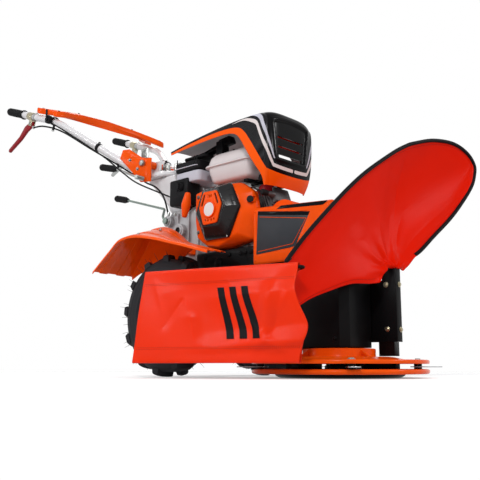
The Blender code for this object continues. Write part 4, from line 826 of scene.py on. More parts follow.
@dataclass
class Gearbox:
    """The cast gearcase, the black engine carrier and what is bolted to them."""

    case_half: float = 0.066
    carrier_half: float = 0.115
    seals: tuple = (
        (0, AXLE_Z, 0.098, 0.042), (0.078, 0.405, 0.086, 0.024), (0.15, 0.545, 0.086, 0.019),
        (0.215, 0.59, 0.086, 0.015))
    case_bolts: tuple = mm(
        (-170, 178), (-172, 315), (-110, 326), (-50, 326), (10, 326), (45, 470), (46, 570), (75, 615), (140, 618),
        (190, 618), (218, 520), (180, 400), (140, 290), (85, 170), (0, 146), (-75, 146))

    def build(self) -> None:
        """Build the case, its bolts and seals, and the carrier."""
        refined("gearcase", "gearcase_casting", CAST_ALLOY, 0.0035, 3)
        refined("engine_frame", "engine_carrier", BLACK_PAINT, 0.0012)
        bolts = [
            ((side * (self.case_half + 0.0005), y, z), (side, 0, 0)) for side in (-1, 1) for y, z in self.case_bolts]
        fasteners("gearcase_bolts", ZINC, bolts, 0.0052)
        self.seal_rings()
        self.drain_plug()
        self.carrier_bolts()

    def seal_rings(self) -> None:
        """Build the bearing caps and the black lip of each shaft seal."""
        caps, lips = bmesh.new(), bmesh.new()
        for y, z, x, radius in self.seals:
            for side in (-1, 1):
                add_spun(
                    caps, [(radius * 1.02, 0), (radius * 1.02, 0.0035), (radius * 0.96, 0.0045),
                    (radius * 0.7, 0.0045), (radius * 0.66, 0.002), (radius * 0.66, 0)], (side * x, y, z),
                    (side, 0, 0), 48, closed=True)
                inner = 0.0135 if z == AXLE_Z else 0.0
                lip = [
                    (radius * 0.64, 0), (radius * 0.64, 0.003), (radius * 0.48, 0.0034), (radius * 0.44, 0.0012),
                    (inner, 0.0012), (inner, 0)]
                add_spun(lips, lip, (side * x, y, z), (side, 0, 0), 48, closed=bool(inner))
        settle(caps, "bearing_caps", CAST_ALLOY)
        settle(lips, "shaft_seal_lips", SOFT_RUBBER)

    def drain_plug(self) -> None:
        """Build the oil filler plug and the drain plug."""
        bm = bmesh.new()
        add_hex_bolt(bm, (-0.0665, 0.11, 0.255), (-1, 0, 0), 0.01, 0.009)
        add_hex_bolt(bm, (-0.0665, -0.15, 0.215), (-1, 0, 0), 0.008, 0.007)
        settle(bm, "oil_plugs", ZINC)

    def carrier_bolts(self) -> None:
        """Build the bolts and the welded boss on the carrier's sides."""
        places = []
        for side in (-1, 1):
            for y in (-0.25, -0.205):
                places += [((side * (self.carrier_half + 0.0004), y, z), (side, 0, 0)) for z in (0.366, 0.418)]
        fasteners("carrier_bolts", BLACK_PAINT, places, 0.007)
        bm = bmesh.new()
        for side in (-1, 1):
            add_spun(
                bm, mm((0, 8), (7, 8), (8, 7.5), (17, 6), (18, 4.5), (18, 0), (0, 0)),
                (side * self.carrier_half, -0.095, 0.392), (side, 0, 0), 48)
        settle(bm, "carrier_bosses", BLACK_PAINT)


@dataclass
class Engine:
    """The single-cylinder engine with its recoil starter, filter, exhaust and switch."""

    centre: tuple = (-0.113, 0.575)
    rim_corners: tuple = mm((106, 2), (66, 89), (-68, 89), (-109, 2), (-56, -101), (56, -101))
    face_corners: tuple = mm((68, -6), (37, 75), (-39, 73), (-73, -2), (-36, -64), (36, -60))
    hole_pitch: float = 0.0066
    hole_radius: float = 0.0021
    plate_corners: tuple = mm((50, 10), (29, 64), (-36, 62), (-58, 12), (-37, -52), (29, -54))

    def build(self) -> None:
        """Build every piece of the engine."""
        refined("crankcase", "crankcase_casting", CAST_ALLOY, 0.0025, 3)
        refined("cylinder_head", "head_casting", HEAD_ALLOY, 0.0006, 1, 40)
        self.shroud()
        self.recoil_cover()
        self.recoil_plate()
        self.starter()
        self.block_details()
        self.plug_lead()
        self.air_filter()
        self.carburettor()
        self.exhaust()
        self.switch()

    def outline(self, share: float) -> list[tuple[float, float]]:
        """Return the starter cover's six corners.

        Args:
            share: 1 for the rim at the fan housing, 0 for the outer face, and less inside it.

        Returns:
            The corners' y and z.
        """
        return [
            (self.centre[0] + fy + (ry - fy) * share, self.centre[1] + fz + (rz - fz) * share)
            for (fy, fz), (ry, rz) in zip(self.face_corners, self.rim_corners)]

    def shroud(self) -> None:
        """Build the fan housing with its round side window, rim bead and screws."""
        shroud = refined("fan_shroud", "fan_housing", ORANGE_PLASTIC, 0.007, 4, 25, 50)
        window = bmesh.new()
        add_cylinder(window, (-0.14, -0.25, 0.6), (-0.095, -0.25, 0.6), 0.0125, 32)
        for low, high in (
                ((-0.14, -0.262, 0.512), (-0.1325, -0.244, 0.515)),
                ((-0.14, -0.262, 0.53), (-0.1325, -0.244, 0.533)), ((-0.14, -0.262, 0.515), (-0.1325, -0.259, 0.53))):
            add_block(window, low, high)
        carve(shroud, window)
        settle(
            add_spun(bmesh.new(), mm((0, -3), (12.2, -3), (12.2, 0), (11, 0.5), (0, 0)), (-0.119, -0.25, 0.6),
            (-1, -0.5, 0.1), 32), "fan_window_grommet", SOFT_RUBBER)
        screws = [((-0.1355, y, z), (-1, 0, 0)) for y, z in ((-0.012, 0.64), (-0.012, 0.51))]
        fasteners("fan_housing_screws", DARK_ZINC, screws, 0.0048)

    def recoil_cover(self) -> None:
        """Build the six-sided starter cover with its border of small round holes."""
        bm = bmesh.new()
        levels = (
            (-0.1353, 1.0), (-0.143, 1.0), (-0.1465, 0.95), (-0.156, 0.62), (-0.1585, 0.5), (-0.1725, 0.13),
            (-0.1755, 0.04), (-0.1768, -0.04))
        rings = []
        for x, share in levels:
            row = [bm.verts.new((x, y, z)) for y, z in self.outline(share)]
            rings.append([bm.edges.new((row[i], row[(i + 1) % 6])) for i in range(6)])
        skin_rings(bm, rings)
        bmesh.ops.recalc_face_normals(bm, faces=bm.faces)
        corners = [e for e in bm.edges if abs(e.verts[0].co.x - e.verts[1].co.x) > 0.001]
        round_edges(bm, corners, 0.006, 4)
        cover = settle(bm, "recoil_housing", COVER_BLACK, ["recoil_cover"], smooth=26)
        holes = bmesh.new()
        for inset, shift in ((0.0048, 0), (0.011, 0.5)):
            self.hole_row(holes, inset, shift)
        carve(cover, holes)
        ribs = bmesh.new()
        rim, face = self.outline(0.88), self.outline(0.56)
        for i in range(6):
            for share in (0.25, 0.5, 0.75):
                far = [rim[i][k] + (rim[(i + 1) % 6][k] - rim[i][k]) * share for k in (0, 1)]
                near = [face[i][k] + (face[(i + 1) % 6][k] - face[i][k]) * share for k in (0, 1)]
                add_bar(ribs, [Vector((-0.148, *far)), Vector((-0.1578, *near))], 0.0014, 2)
        settle(ribs, "recoil_housing_ribs", COVER_BLACK)

    def hole_row(self, holes: BMesh, inset: float, shift: float) -> None:
        """Add the cutters of one row of round holes that runs inside the cover's six sides."""
        corners = [Vector(corner) for corner in self.outline(0.0)]
        middle = Vector(self.centre)
        for start, end in zip(corners, corners[1:] + corners[:1]):
            way = (end - start).normalized()
            inward = Vector((-way.y, way.x))
            if inward.dot(middle - start) < 0:
                inward = -inward
            margin = inset * 0.62 + 0.004
            room = (end - start).length - 2 * margin
            count = max(1, int(room / self.hole_pitch))
            for i in range(count + 1):
                reach = margin + room * min(1.0, (i + shift * 0.5) / count)
                if i == count and shift:
                    continue
                spot = start + way * reach + inward * inset
                add_cylinder(holes, (-0.185, *spot), (-0.1715, *spot), self.hole_radius, 10)

    def recoil_plate(self) -> None:
        """Build the raised centre plate with its cut-outs, its ring and its blank disc."""
        plate = bmesh.new()
        cy, cz = self.centre
        extrude_outline(plate, [(-0.1766, cy + y, cz + z) for y, z in self.plate_corners], (-0.0048, 0, 0))
        corners = [e for e in plate.edges if abs(e.verts[0].co.x - e.verts[1].co.x) > 0.001]
        round_edges(plate, corners, 0.006, 4)
        rims = [e for e in plate.edges if all(v.co.x < -0.18 for v in e.verts)]
        round_edges(plate, rims, 0.0014, 3)
        piece = settle(plate, "recoil_centre_plate", ORANGE_PLASTIC, ["recoil_plate"], smooth=30)
        seat = Matrix.Translation((-0.18, cy, cz)) @ SIDE_PLANE
        slots = bmesh.new()
        for way in (-1, 1):
            add_plate(
                slots, [(way * y - 0.003, z) for y, z in ((0.02, 0.055), (0.03, 0.052), (0.044, 0.016),
                (0.036, 0.012))], 0.04, seat)
            for y, z in ((0.008, -0.04), (0.021, -0.038)):
                add_block(
                    slots, (-0.2, cy + way * y - 0.0062, cz + z - 0.0042),
                    (-0.16, cy + way * y - 0.0002, cz + z + 0.0042), 0.001, 2)
        for y, width in ((-0.0105, 0.0042), (-0.0035, 0.005), (0.0045, 0.0042)):
            add_block(slots, (-0.2, cy + y - width / 2, cz + 0.04), (-0.16, cy + y + width / 2, cz + 0.052), 0.001, 2)
        carve(piece, slots)
        ring, disc = bmesh.new(), bmesh.new()
        boss = (-0.181, cy - 0.003, cz - 0.002)
        add_spun(
            ring, mm((24.8, 0), (24.8, 5.2), (25.6, 6), (29, 6), (30, 5), (30, 0)), boss, (-1, 0, 0), 64, closed=True)
        add_spun(disc, mm((0, 4.6), (24.2, 4.4), (24.6, 4), (24.6, 0), (0, 0)), boss, (-1, 0, 0), 64)
        settle(ring, "recoil_boss_ring", ORANGE_PLASTIC)
        settle(disc, "recoil_blank_disc", LABEL_WHITE)
        bolts = [((-0.147, y, z), (-1, 0, 0)) for y, z in (self.outline(0.93)[1], self.outline(0.93)[4])]
        fasteners("recoil_screws", ZINC, bolts, 0.003, screws=True)

    def starter(self) -> None:
        """Build the starter's pull grip, its guide and the drawn end of the rope."""
        way = Vector((-0.3, 0.72, 0.62)).normalized()
        home = Vector((-0.15, 0.03, 0.612))
        upright = Vector((0, -0.2, 0.98)).normalized()
        middle = home + way * 0.019 + Vector((-0.004, -0.016, -0.01))
        bm = bmesh.new()
        profile = mm(
            (0, 47), (6, 47), (9.5, 44.5), (11.5, 38), (14, 22), (17.2, 6), (17.6, -2), (16.5, -10), (12.8, -24),
            (10.8, -36), (8.8, -43), (6, -46), (0, -46))
        add_spun(bm, profile, middle, upright, 40)
        add_spun(bm, mm((0, 16), (8, 14), (7.6, 4), (7, 0), (0, 0)), home, way, 32)
        settle(bm, "starter_handle", ORANGE_PLASTIC, ["starter_grip"], body=Body.STARTER, smooth=50)
        settle(
            add_spun(bmesh.new(), mm((4.5, 0), (5, 3), (8.5, 3), (9.5, 0), (9.5, -12), (4.5, -12)),
            home - way * 0.0035, way, 32, closed=True), "rope_guide", BLACK_PLASTIC)
        rope = bmesh.new()
        ends = [home - way * 0.014, home + way * 0.004]
        add_bar(rope, [ends[0].lerp(ends[1], i / 12) for i in range(13)], 0.002, 4)
        settle(rope, "starter_rope", SOFT_RUBBER, bend=Bend(Body.CHASSIS, Body.STARTER, *ends))

    def block_details(self) -> None:
        """Build the bolts, the oil caps, the output bearing and the ignition cover of the block."""
        bolts = []
        for i in range(8):
            turn = math.tau * (i + 0.3) / 8
            bolts.append(
                ((0.1123, CRANK.y + 0.083 * math.cos(turn), CRANK.z - 0.02 + 0.083 * math.sin(turn)), (1, 0, 0)))
        bolts += [((-0.068, -0.2, 0.45), (-1, 0, 0)), ((-0.068, 0.004, 0.45), (-1, 0, 0))]
        fasteners("crankcase_bolts", DARK_ZINC, bolts, 0.005)
        settle(
            add_spun(bmesh.new(), mm((0, 26), (10, 26), (12, 24), (12, 10), (15, 9), (16, 6), (16, 0), (0, 0)),
            (-0.02, 0.0255, 0.488), (0, 1, 0.35), 32), "oil_filler_cap", RED_PLASTIC)
        settle(
            add_spun(bmesh.new(), mm((0, 3), (12, 3), (13, 2), (30, 2), (32, 4), (44, 4), (46, 2), (50, 1), (50, 0),
            (0, 0)), (0.1502, CRANK.y, CRANK.z), (1, 0, 0), 64), "output_bearing", STEEL)
        settle(
            add_spun(bmesh.new(), mm((0, 46), (12, 45), (22, 38), (27, 26), (28, 0), (0, 0)), (-0.03, -0.24, 0.64),
            (-0.35, -0.75, 0.1), 40), "ignition_cover", RED_PLASTIC)

    def plug_lead(self) -> None:
        """Build the spark plug's cap and its lead down to the coil."""
        lean = Matrix.Translation(CRANK) @ Matrix.Rotation(math.radians(-20), 4, "X")
        tip = lean @ Vector((-0.084, -0.186, -0.018))
        bm = bmesh.new()
        add_spun(bm, mm((0, 20), (8, 19), (10.5, 15), (10.5, -6), (9, -10), (0, -10)), tip, (-1, 0, 0), 32)
        route = smooth_path(
            [tip + Vector((-0.015, 0.004, 0.002)), tip + Vector((-0.024, 0.02, 0.012)),
            tip + Vector((-0.012, 0.044, 0.024)), tip + Vector((0.006, 0.07, 0.03))], 10)
        add_bar(bm, route, 0.0034, 4)
        settle(bm, "spark_plug_lead", SOFT_RUBBER)

    def air_filter(self) -> None:
        """Build the filter's milky tray and its stepped black lid."""
        tray = bmesh.new()
        add_plate(
            tray, self.rounded(-0.113, 0.018, 0.012, 0.146, 0.02), 0.042, Matrix.Translation((0, 0, 0.738)), 0.006, 4)
        add_plate(
            tray, self.rounded(-0.117, 0.012, 0.016, 0.15, 0.02), 0.0035, Matrix.Translation((0, 0, 0.7765)), 0.001, 2)
        settle(tray, "filter_tray", GREY_PLASTIC, ["air_filter_base"], smooth=50)
        lid = bmesh.new()
        add_plate(
            lid, self.rounded(-0.115, 0.014, 0.014, 0.148, 0.02), 0.036, Matrix.Translation((0, 0, 0.7803)), 0.005, 4)
        add_plate(
            lid, self.rounded(-0.095, 0.03, -0.004, 0.12, 0.018), 0.01, Matrix.Translation((0, 0, 0.8153)), 0.004, 4)
        add_spun(lid, mm((0, 10), (9, 10), (11, 8), (12, 0), (0, 0)), (-0.048, 0.075, 0.825), (0, 0, 1), 32)
        settle(lid, "filter_lid", BLACK_PLASTIC, ["air_filter_cover"], smooth=50)
        ribs = bmesh.new()
        for y in (0.02, 0.032, 0.128):
            add_block(ribs, (-0.117, y - 0.0015, 0.781), (-0.114, y + 0.0015, 0.812), 0.0006, 2)
        settle(ribs, "filter_lid_ribs", BLACK_PLASTIC)

    @staticmethod
    def rounded(low_x: float, high_x: float, low_y: float, high_y: float, radius: float) -> list[tuple[float, float]]:
        """Return the outline of a rectangle with round corners."""
        points = []
        for cx, cy, start in (
                (high_x - radius, high_y - radius, 0), (low_x + radius, high_y - radius, 90),
                (low_x + radius, low_y + radius, 180), (high_x - radius, low_y + radius, 270)):
            for i in range(9):
                turn = math.radians(start + 90 * i / 8)
                points.append((cx + radius * math.cos(turn), cy + radius * math.sin(turn)))
        return points

    def carburettor(self) -> None:
        """Build the carburettor and its choke."""
        refined("carburettor", "carburettor_body", CAST_ALLOY, 0.0012)
        refined("choke_lever", "choke_knob", BLACK_PLASTIC, 0.0007, body=Body.CHOKE_LEVER)

    def exhaust(self) -> None:
        """Build the exhaust box and its bolts."""
        refined("muffler", "exhaust_box", BLACK_PAINT, 0.0012)
        bolts = [((x, y, 0.6886), (0, 0, 1)) for x in (-0.008, 0.082) for y in (-0.224, -0.172)]
        fasteners("exhaust_bolts", DARK_ZINC, bolts, 0.004)

    def switch(self) -> None:
        """Build the control box and its red switch."""
        refined("switch_box", "control_box", BLACK_PLASTIC, 0.0016)
        refined("engine_switch", "switch_key", BLACK_PLASTIC, 0.001, body=Body.SWITCH)
        settle(
            add_spun(bmesh.new(), mm((13.5, 0), (13.5, 2), (14.5, 2.6), (16, 2), (16.4, 0)), (-0.1222, 0.102, 0.702),
            (-1, 0, 0), 40, closed=True), "switch_bezel", BLACK_PLASTIC)


@dataclass
class FuelTank:
    """The pressed fuel tank and its cap."""

    corner: float = 0.03
    levels: tuple = mm(
        (690.5, 70, -205, -50), (691.5, 80, -213, -42), (696, 90, -222, -33), (704, 96, -228, -26),
        (740, 101, -233, -15.5), (752.5, 102, -234, -14), (753.2, 109.5, -241.5, -4.5), (754.5, 110.2, -242.2, -3.8),
        (758.5, 110.2, -242.2, -3.8), (760, 109, -241, -5), (760.8, 103, -235, -12), (770, 101.8, -233.5, -13.5),
        (788, 97.5, -228.5, -18.5), (798, 91, -221, -26), (805, 81.5, -211, -35.5), (809.2, 68, -197.5, -49),
        (810.8, 50, -180, -66))

    def ring(self, bm: BMesh, level: tuple) -> list:
        """Add one rounded level of the tank and return its edges."""
        z, half_x, low_y, high_y = level
        points = []
        for cx, cy, start in ((half_x, high_y, 0), (-half_x, high_y, 90), (-half_x, low_y, 180), (half_x, low_y, 270)):
            for i in range(10):
                turn = math.radians(start + 10 * i)
                inset_x = math.copysign(self.corner, cx)
                inset_y = self.corner if cy == high_y else -self.corner
                points.append(
                    bm.verts.new((cx - inset_x + self.corner * math.cos(turn),
                    cy - inset_y + self.corner * math.sin(turn), z)))
        return [bm.edges.new((points[i], points[(i + 1) % len(points)])) for i in range(len(points))]

    def build(self) -> None:
        """Build the tank, its neck, its ribbed cap and its feet."""
        bm = bmesh.new()
        rings = [self.ring(bm, level) for level in self.levels]
        skin_rings(bm, rings)
        add_spun(
            bm, mm((0, 18), (19.5, 18), (20, 17), (20, 10), (23.5, 8.5), (25.5, 4), (25.5, 0), (0, 0)),
            (0.02, -0.12, 0.8), (0, 0, 1), 48)
        settle(bm, "tank_pressing", TANK_SHELL, ["fuel_tank"], smooth=55)
        cap = bmesh.new()
        seat = (0.02, -0.12, 0.8183)
        add_spun(
            cap, mm((0, 11.8), (12, 11.8), (14, 12.5), (22.5, 12.5), (25, 11), (26, 8.5), (26.2, 0), (0, 0)), seat,
            (0, 0, 1), 64)
        for i in range(30):
            turn = math.tau * i / 30
            add_block(
                cap, (0.025, -0.001, 0.0006), (0.027, 0.001, 0.0088), 0.0004, 1,
                Matrix.Translation(seat) @ Matrix.Rotation(turn, 4, "Z"))
        settle(cap, "filler_cap", BLACK_PLASTIC, ["tank_cap"], body=Body.TANK_CAP)
        straps = bmesh.new()
        for y in (-0.06, -0.19):
            add_block(straps, (-0.075, y - 0.01, 0.68), (0.075, y + 0.01, 0.6903), 0.0012, 2)
        settle(straps, "tank_mounting_feet", BLACK_PAINT)


@dataclass(frozen=True)
class HoodFinish:
    """The hood's paint: an orange hem, a white and a silver stripe on gloss black and carbon film.

    Two UV maps carry how far a point lies inside each band, and the strength of the film.
    """

    name: str = "banded_hood"
    orange: tuple = (0.86, 0.092, 0.003, 1)
    black: tuple = (0.004, 0.004, 0.0045, 1)
    white: tuple = (0.66, 0.6, 0.59, 1)
    silver: tuple = (0.5, 0.5, 0.57, 1)
    film_lift: tuple = (0.022, 0.022, 0.024, 1)
    maps: tuple = ("hem_and_white", "silver_and_film")

    def material(self) -> Material:
        """Build the material from the two maps."""
        mat, tree, shader = start_material(self.name)
        shader.inputs["Specular IOR Level"].default_value = 0.07
        channels = []
        for name in self.maps:
            parts = split_xyz(tree, add_node(tree, "UVMap", {"uv_map": name}).outputs["UV"])
            channels += [parts["X"], parts["Y"]]
        hem, white, silver, film_mask = channels
        vector = add_node(tree, "TexCoord").outputs["Object"]
        film = group_node(tree, Grain.TWILL, 900.0, vector)["Patches"]
        paint = mix_colours(tree, maths(tree, "MULTIPLY", film, film_mask), self.black, self.film_lift, "ADD")
        for depth, colour in ((hem, self.orange), (white, self.white), (silver, self.silver)):
            paint = mix_colours(tree, maths(tree, "GREATER_THAN", depth, 0.0), paint, colour)
        feed(tree, shader.inputs["Base Color"], paint)
        peel = group_node(tree, Grain.PEEL, 500.0, vector)
        gloss = maths(tree, "ADD", maths(tree, "MULTIPLY", peel["Patches"], 0.06), 0.11)
        feed(tree, shader.inputs["Roughness"], gloss)
        feed(tree, shader.inputs["Normal"], add_bump(tree, peel["Height"], 0.4, 0.00006))
        return mat


def blend_rows(rows: Sequence[Sequence[float]], t: float) -> list[float]:
    """Return the row at t, from 0 to 1, on a smooth curve through rows of numbers."""
    spot = min(max(t, 0.0), 1.0) * (len(rows) - 1)
    i = min(int(spot), len(rows) - 2)
    f = spot - i
    a, b, c, d = (rows[max(0, i - 1)], rows[i], rows[i + 1], rows[min(len(rows) - 1, i + 2)])
    return [
        0.5 * (2 * q + (r - p) * f + (2 * p - 5 * q + 4 * r - s) * f * f + (3 * q - p - 3 * r + s) * f ** 3)
        for p, q, r, s in zip(a, b, c, d)]


def ease(low: float, high: float, value: float) -> float:
    """Return 0 below one value, 1 above another and a smooth step between them."""
    t = min(1.0, max(0.0, (value - low) / (high - low)))
    return t * t * (3 - 2 * t)


@dataclass
class Hood:
    """The hood shell with its banded sides, recessed grille and stay.

    Each station gives the crown's y and z, the edge's drop, the skirt's y and z, the half width
    and the crown's rise. Each row of side bands gives the distances from the skirt at which the
    colour changes there.
    """

    stations: tuple = mm(
        (158, 852, 4, 155, 836, 124, 6), (62, 866, 8, 64, 842, 130, 9), (-60, 881, 11, -58, 849, 133, 12),
        (-170, 891, 12, -150, 850, 134, 14), (-245, 894, 13, -195, 838, 134, 16),
        (-298, 894, 13, -219, 813, 134, 16), (-322, 885, 13, -232, 792, 134, 15),
        (-330, 860, 13, -243, 774, 134, 13), (-331, 800, 13, -262, 744, 133, 10), (-330, 732, 12, -284, 708, 128, 8),
        (-324, 680, 10, -302, 674, 119, 7), (-312, 642, 7, -303, 641, 108, 6))
    side_bands: tuple = mm(
        (6, 50, 50, 50, 50), (11, 50, 50, 50, 50), (16, 50, 50, 60, 60), (19, 33, 33, 50, 50),
        (27, 56.5, 64, 76, 77.5), (31, 73.5, 87, 98.5, 110), (33, 84, 96, 107.5, 123), (34, 80, 92, 103.5, 117.5),
        (33, 70, 82, 93.5, 104), (31, 62, 74, 82.5, 88.5), (31, 60, 72, 80, 86), (31, 60, 72, 80, 86))
    front_bands: tuple = (0.686, 0.7, 0.712, 0.733)
    corner_rise: float = 0.013
    stripe_gap: tuple = (0.01, 0.018)
    edge: float = 0.013
    sheet: float = 0.003
    recess: tuple = (0.737, 0.88)
    shoulder: tuple = (0.58, 0.72)
    front_from: float = 0.6
    press_depth: float = 0.0062
    lip_height: float = 0.0014
    slots: tuple = ((0.815, -0.07, 0.072, 0.0036), (0.7815, -0.066, 0.068, 0.0036), (0.748, -0.062, 0.06, 0.0058))

    def place(self, s: float, t: float) -> tuple[Vector, float]:
        """Find a point of the shell.

        Args:
            s: From -1 at the right skirt to 1 at the left one.
            t: From 0 at the rear tip to 1 at the front's lower edge.

        Returns:
            The point, and how far it is from the skirt over the shell.
        """
        top_y, top_z, drop, skirt_y, skirt_z, half, crown = blend_rows(self.stations, t)
        up = Vector((0, top_y - skirt_y, top_z - skirt_z))
        height = up.length
        up.normalize()
        across = abs(s)
        arc = (self.edge + drop) * 0.8
        inner, outer = self.shoulder
        if across > outer:
            x, rise = half, (height - drop) * (1 - across) / (1 - outer)
            walked = rise
        elif across > inner:
            share = (outer - across) / (outer - inner)
            turn = share * math.pi / 2
            x = half - self.edge * (1 - math.cos(turn))
            rise = height - drop * (1 - math.sin(turn))
            walked = height - drop + arc * share
        else:
            x = (half - self.edge) * across / inner
            rise = height + crown * 1.25 * (1 - (x / (half - self.edge)) ** 4)
            walked = height - drop + arc + half - self.edge - x
        point = Vector((math.copysign(x, s) if s else 0.0, skirt_y, skirt_z)) + up * rise
        return point, walked

    def bands(self, s: float, t: float) -> tuple[tuple[float, float], tuple[float, float]]:
        """Return how deep a point lies in the hem and the stripes, in centimetres, and the film's strength."""
        point, walked = self.place(s, t)
        hem_top, white_low, white_top, silver_low, silver_top = blend_rows(self.side_bands, t)
        hem = hem_top - walked
        past_white = walked - white_low
        white = min(past_white, white_top - walked)
        silver = min(walked - silver_low, silver_top - walked)
        if t > self.front_from:
            low, stripe_low, stripe_top, silver_end = self.front_bands
            height = point.z - self.corner_rise * abs(point.x / 0.13) ** 3
            hem = max(hem, low - height)
            white = max(min(white, height - stripe_low), min(height - stripe_low, stripe_top - height, past_white))
            if height < silver_end:
                white = min(white, max(self.stripe_gap[0] - point.x, point.x - self.stripe_gap[1]))
            silver = min(silver, point.z - silver_end)
        film = 1.0 if abs(s) > 0.56 or t < 0.45 else 0.0
        return (hem * 100, white * 100), (silver * 100, film)

    def shell_point(self, u: float, v: float) -> Vector:
        """Return the shell's point for grid values, with the grille's recess pressed in."""
        point, _ = self.place(u * 2 - 1, v)
        if v < 0.55:
            return point
        low, high = self.recess
        half = 0.076 + 0.02 * (point.z - low) / (high - low)
        arch = high - 0.01 * (point.x / 0.096) ** 2
        inside = ease(half, half - 0.008, abs(point.x)) * ease(low, low + 0.008, point.z) * ease(
            arch, arch - 0.008, point.z)
        rim = (
            ease(half + 0.012, half + 0.007, abs(point.x)) * ease(low - 0.012, low - 0.007, point.z)
            * ease(arch + 0.012, arch + 0.007, point.z))
        return point + Vector((0, self.press_depth * inside - self.lip_height * (rim - inside), 0))

    def build(self) -> None:
        """Build the shell, its slots, the baffle behind them and the stay."""
        shell = settle(
            add_surface(bmesh.new(), 168, 180, self.shell_point, lambda u, v: (u, v)), "hood_shell", GLOSS_BLACK,
            ["hood"], smooth=60, weld=0.0)
        self.map_bands(shell)
        shell.data.materials.clear()
        shell.data.materials.append(HoodFinish().material())
        shell.data.materials.append(INNER_GREY.material())
        wall = shell.modifiers.new("thickness", "SOLIDIFY")
        wall.thickness = self.sheet
        wall.offset = -1.0 if self.points_out(shell) else 1.0
        wall.material_offset = 1
        wall.material_offset_rim = 0
        slots, baffle = bmesh.new(), bmesh.new()
        for i, (z, low, high, half) in enumerate(self.slots):
            add_block(slots, (low, -0.4, z - half), (high, -0.3, z + half), 0.0022, 3)
            if i < 2:
                add_block(baffle, (low - 0.003, -0.316, z - 0.001), (high + 0.003, -0.314, z + 0.013), 0.0008, 2)
        carve(shell, slots)
        settle(baffle, "grille_baffles", BAFFLE_RED)
        refined("hood_bracket", "hood_stay", BLACK_PAINT, 0.0014)
        settle(
            add_block(bmesh.new(), (-0.064, -0.062, 0.813), (-0.026, -0.028, 0.864), 0.003, 3), "hood_stem",
            BLACK_PLASTIC)
        screws = [((x, y, z), (0, 0.1, 1)) for x in (-0.085, 0.085) for y, z in ((-0.24, 0.9), (0.02, 0.8755))]
        fasteners("hood_screws", GLOSS_BLACK, screws, 0.005, screws=True)

    def map_bands(self, shell: Object) -> None:
        """Write the bands' two UV maps from the shell's own grid map."""
        grid = shell.data.uv_layers[0]
        places = [tuple(item.uv) for item in grid.data]
        known = {place: self.bands(place[0] * 2 - 1, place[1]) for place in set(places)}
        for i, name in enumerate(HoodFinish.maps):
            layer = shell.data.uv_layers.new(name=name)
            for item, place in zip(layer.data, places):
                item.uv = known[place][i]

    @staticmethod
    def points_out(shell: Object) -> bool:
        """Tell whether the crown's faces point up."""
        return sum(f.normal.z for f in shell.data.polygons) > 0


@dataclass
class Nose:
    """The orange front cover with its side panels and its top strip."""

    half: float = 0.125
    panel: tuple = mm((-282.5, 402), (-290, 537), (-504, 506), (-448, 412))
    band: tuple = mm((-290, 536), (-291, 549), (-510, 517), (-503.5, 505))

    def build(self) -> None:
        """Build the cover, the two side panels with their lines, the strips and the screws."""
        refined("nose_cover", "nose_shell", ORANGE_PLASTIC, 0.0012, 2, 25, 45)
        for name, side in SIDES:
            self.side_panel(name, side)
            self.top_strip(name, side)
        screws = [
            ((side * (self.half + 0.0002), y, z), (side, 0, 0)) for side in (-1, 1)
            for y, z in ((-0.279, 0.382), (-0.279, 0.548), (-0.505, 0.44))]
        fasteners("nose_screws", ORANGE_PAINT, screws, 0.0036, screws=True)

    def inset(self, by: float) -> list[tuple[float, float]]:
        """Return the panel's outline drawn in by a margin."""
        cy = sum(p[0] for p in self.panel) / 4
        cz = sum(p[1] for p in self.panel) / 4
        return [(y + math.copysign(by, cy - y), z + math.copysign(by, cz - z)) for y, z in self.panel]

    def side_panel(self, name: str, side: int) -> None:
        """Build one dark panel and the thin orange line near its edge."""
        seat = Matrix.Translation((side * (self.half - 0.0008), 0, 0)) @ SIDE_PLANE
        settle(add_plate(bmesh.new(), self.panel, 0.0018, seat, 0.0005), f"nose_panel_{name}", DARK_PANEL)
        settle(add_plate(bmesh.new(), self.band, 0.0024, seat, 0.0005), f"nose_panel_band_{name}", GLOSS_BLACK)
        line = bmesh.new()
        corners = self.inset(0.009)
        for a, b in zip(corners[1:], corners[2:] + corners[:1]):
            start = Vector((side * (self.half + 0.0006), *a))
            end = Vector((side * (self.half + 0.0006), *b))
            add_bar(line, [start, end], 0.001, 2)
        settle(line, f"nose_panel_line_{name}", ORANGE_PLASTIC)

    def top_strip(self, name: str, side: int) -> None:
        """Build the plain black strip along the upper edge of one side."""
        seat = Matrix.Translation((side * (self.half + 0.0003), 0, 0)) @ SIDE_PLANE
        settle(
            add_plate(bmesh.new(), [(-0.372, 0.544), (-0.392, 0.553), (-0.58, 0.5415), (-0.562, 0.53)], 0.0012, seat,
            0.0004), f"nose_strip_{name}", GLOSS_BLACK)


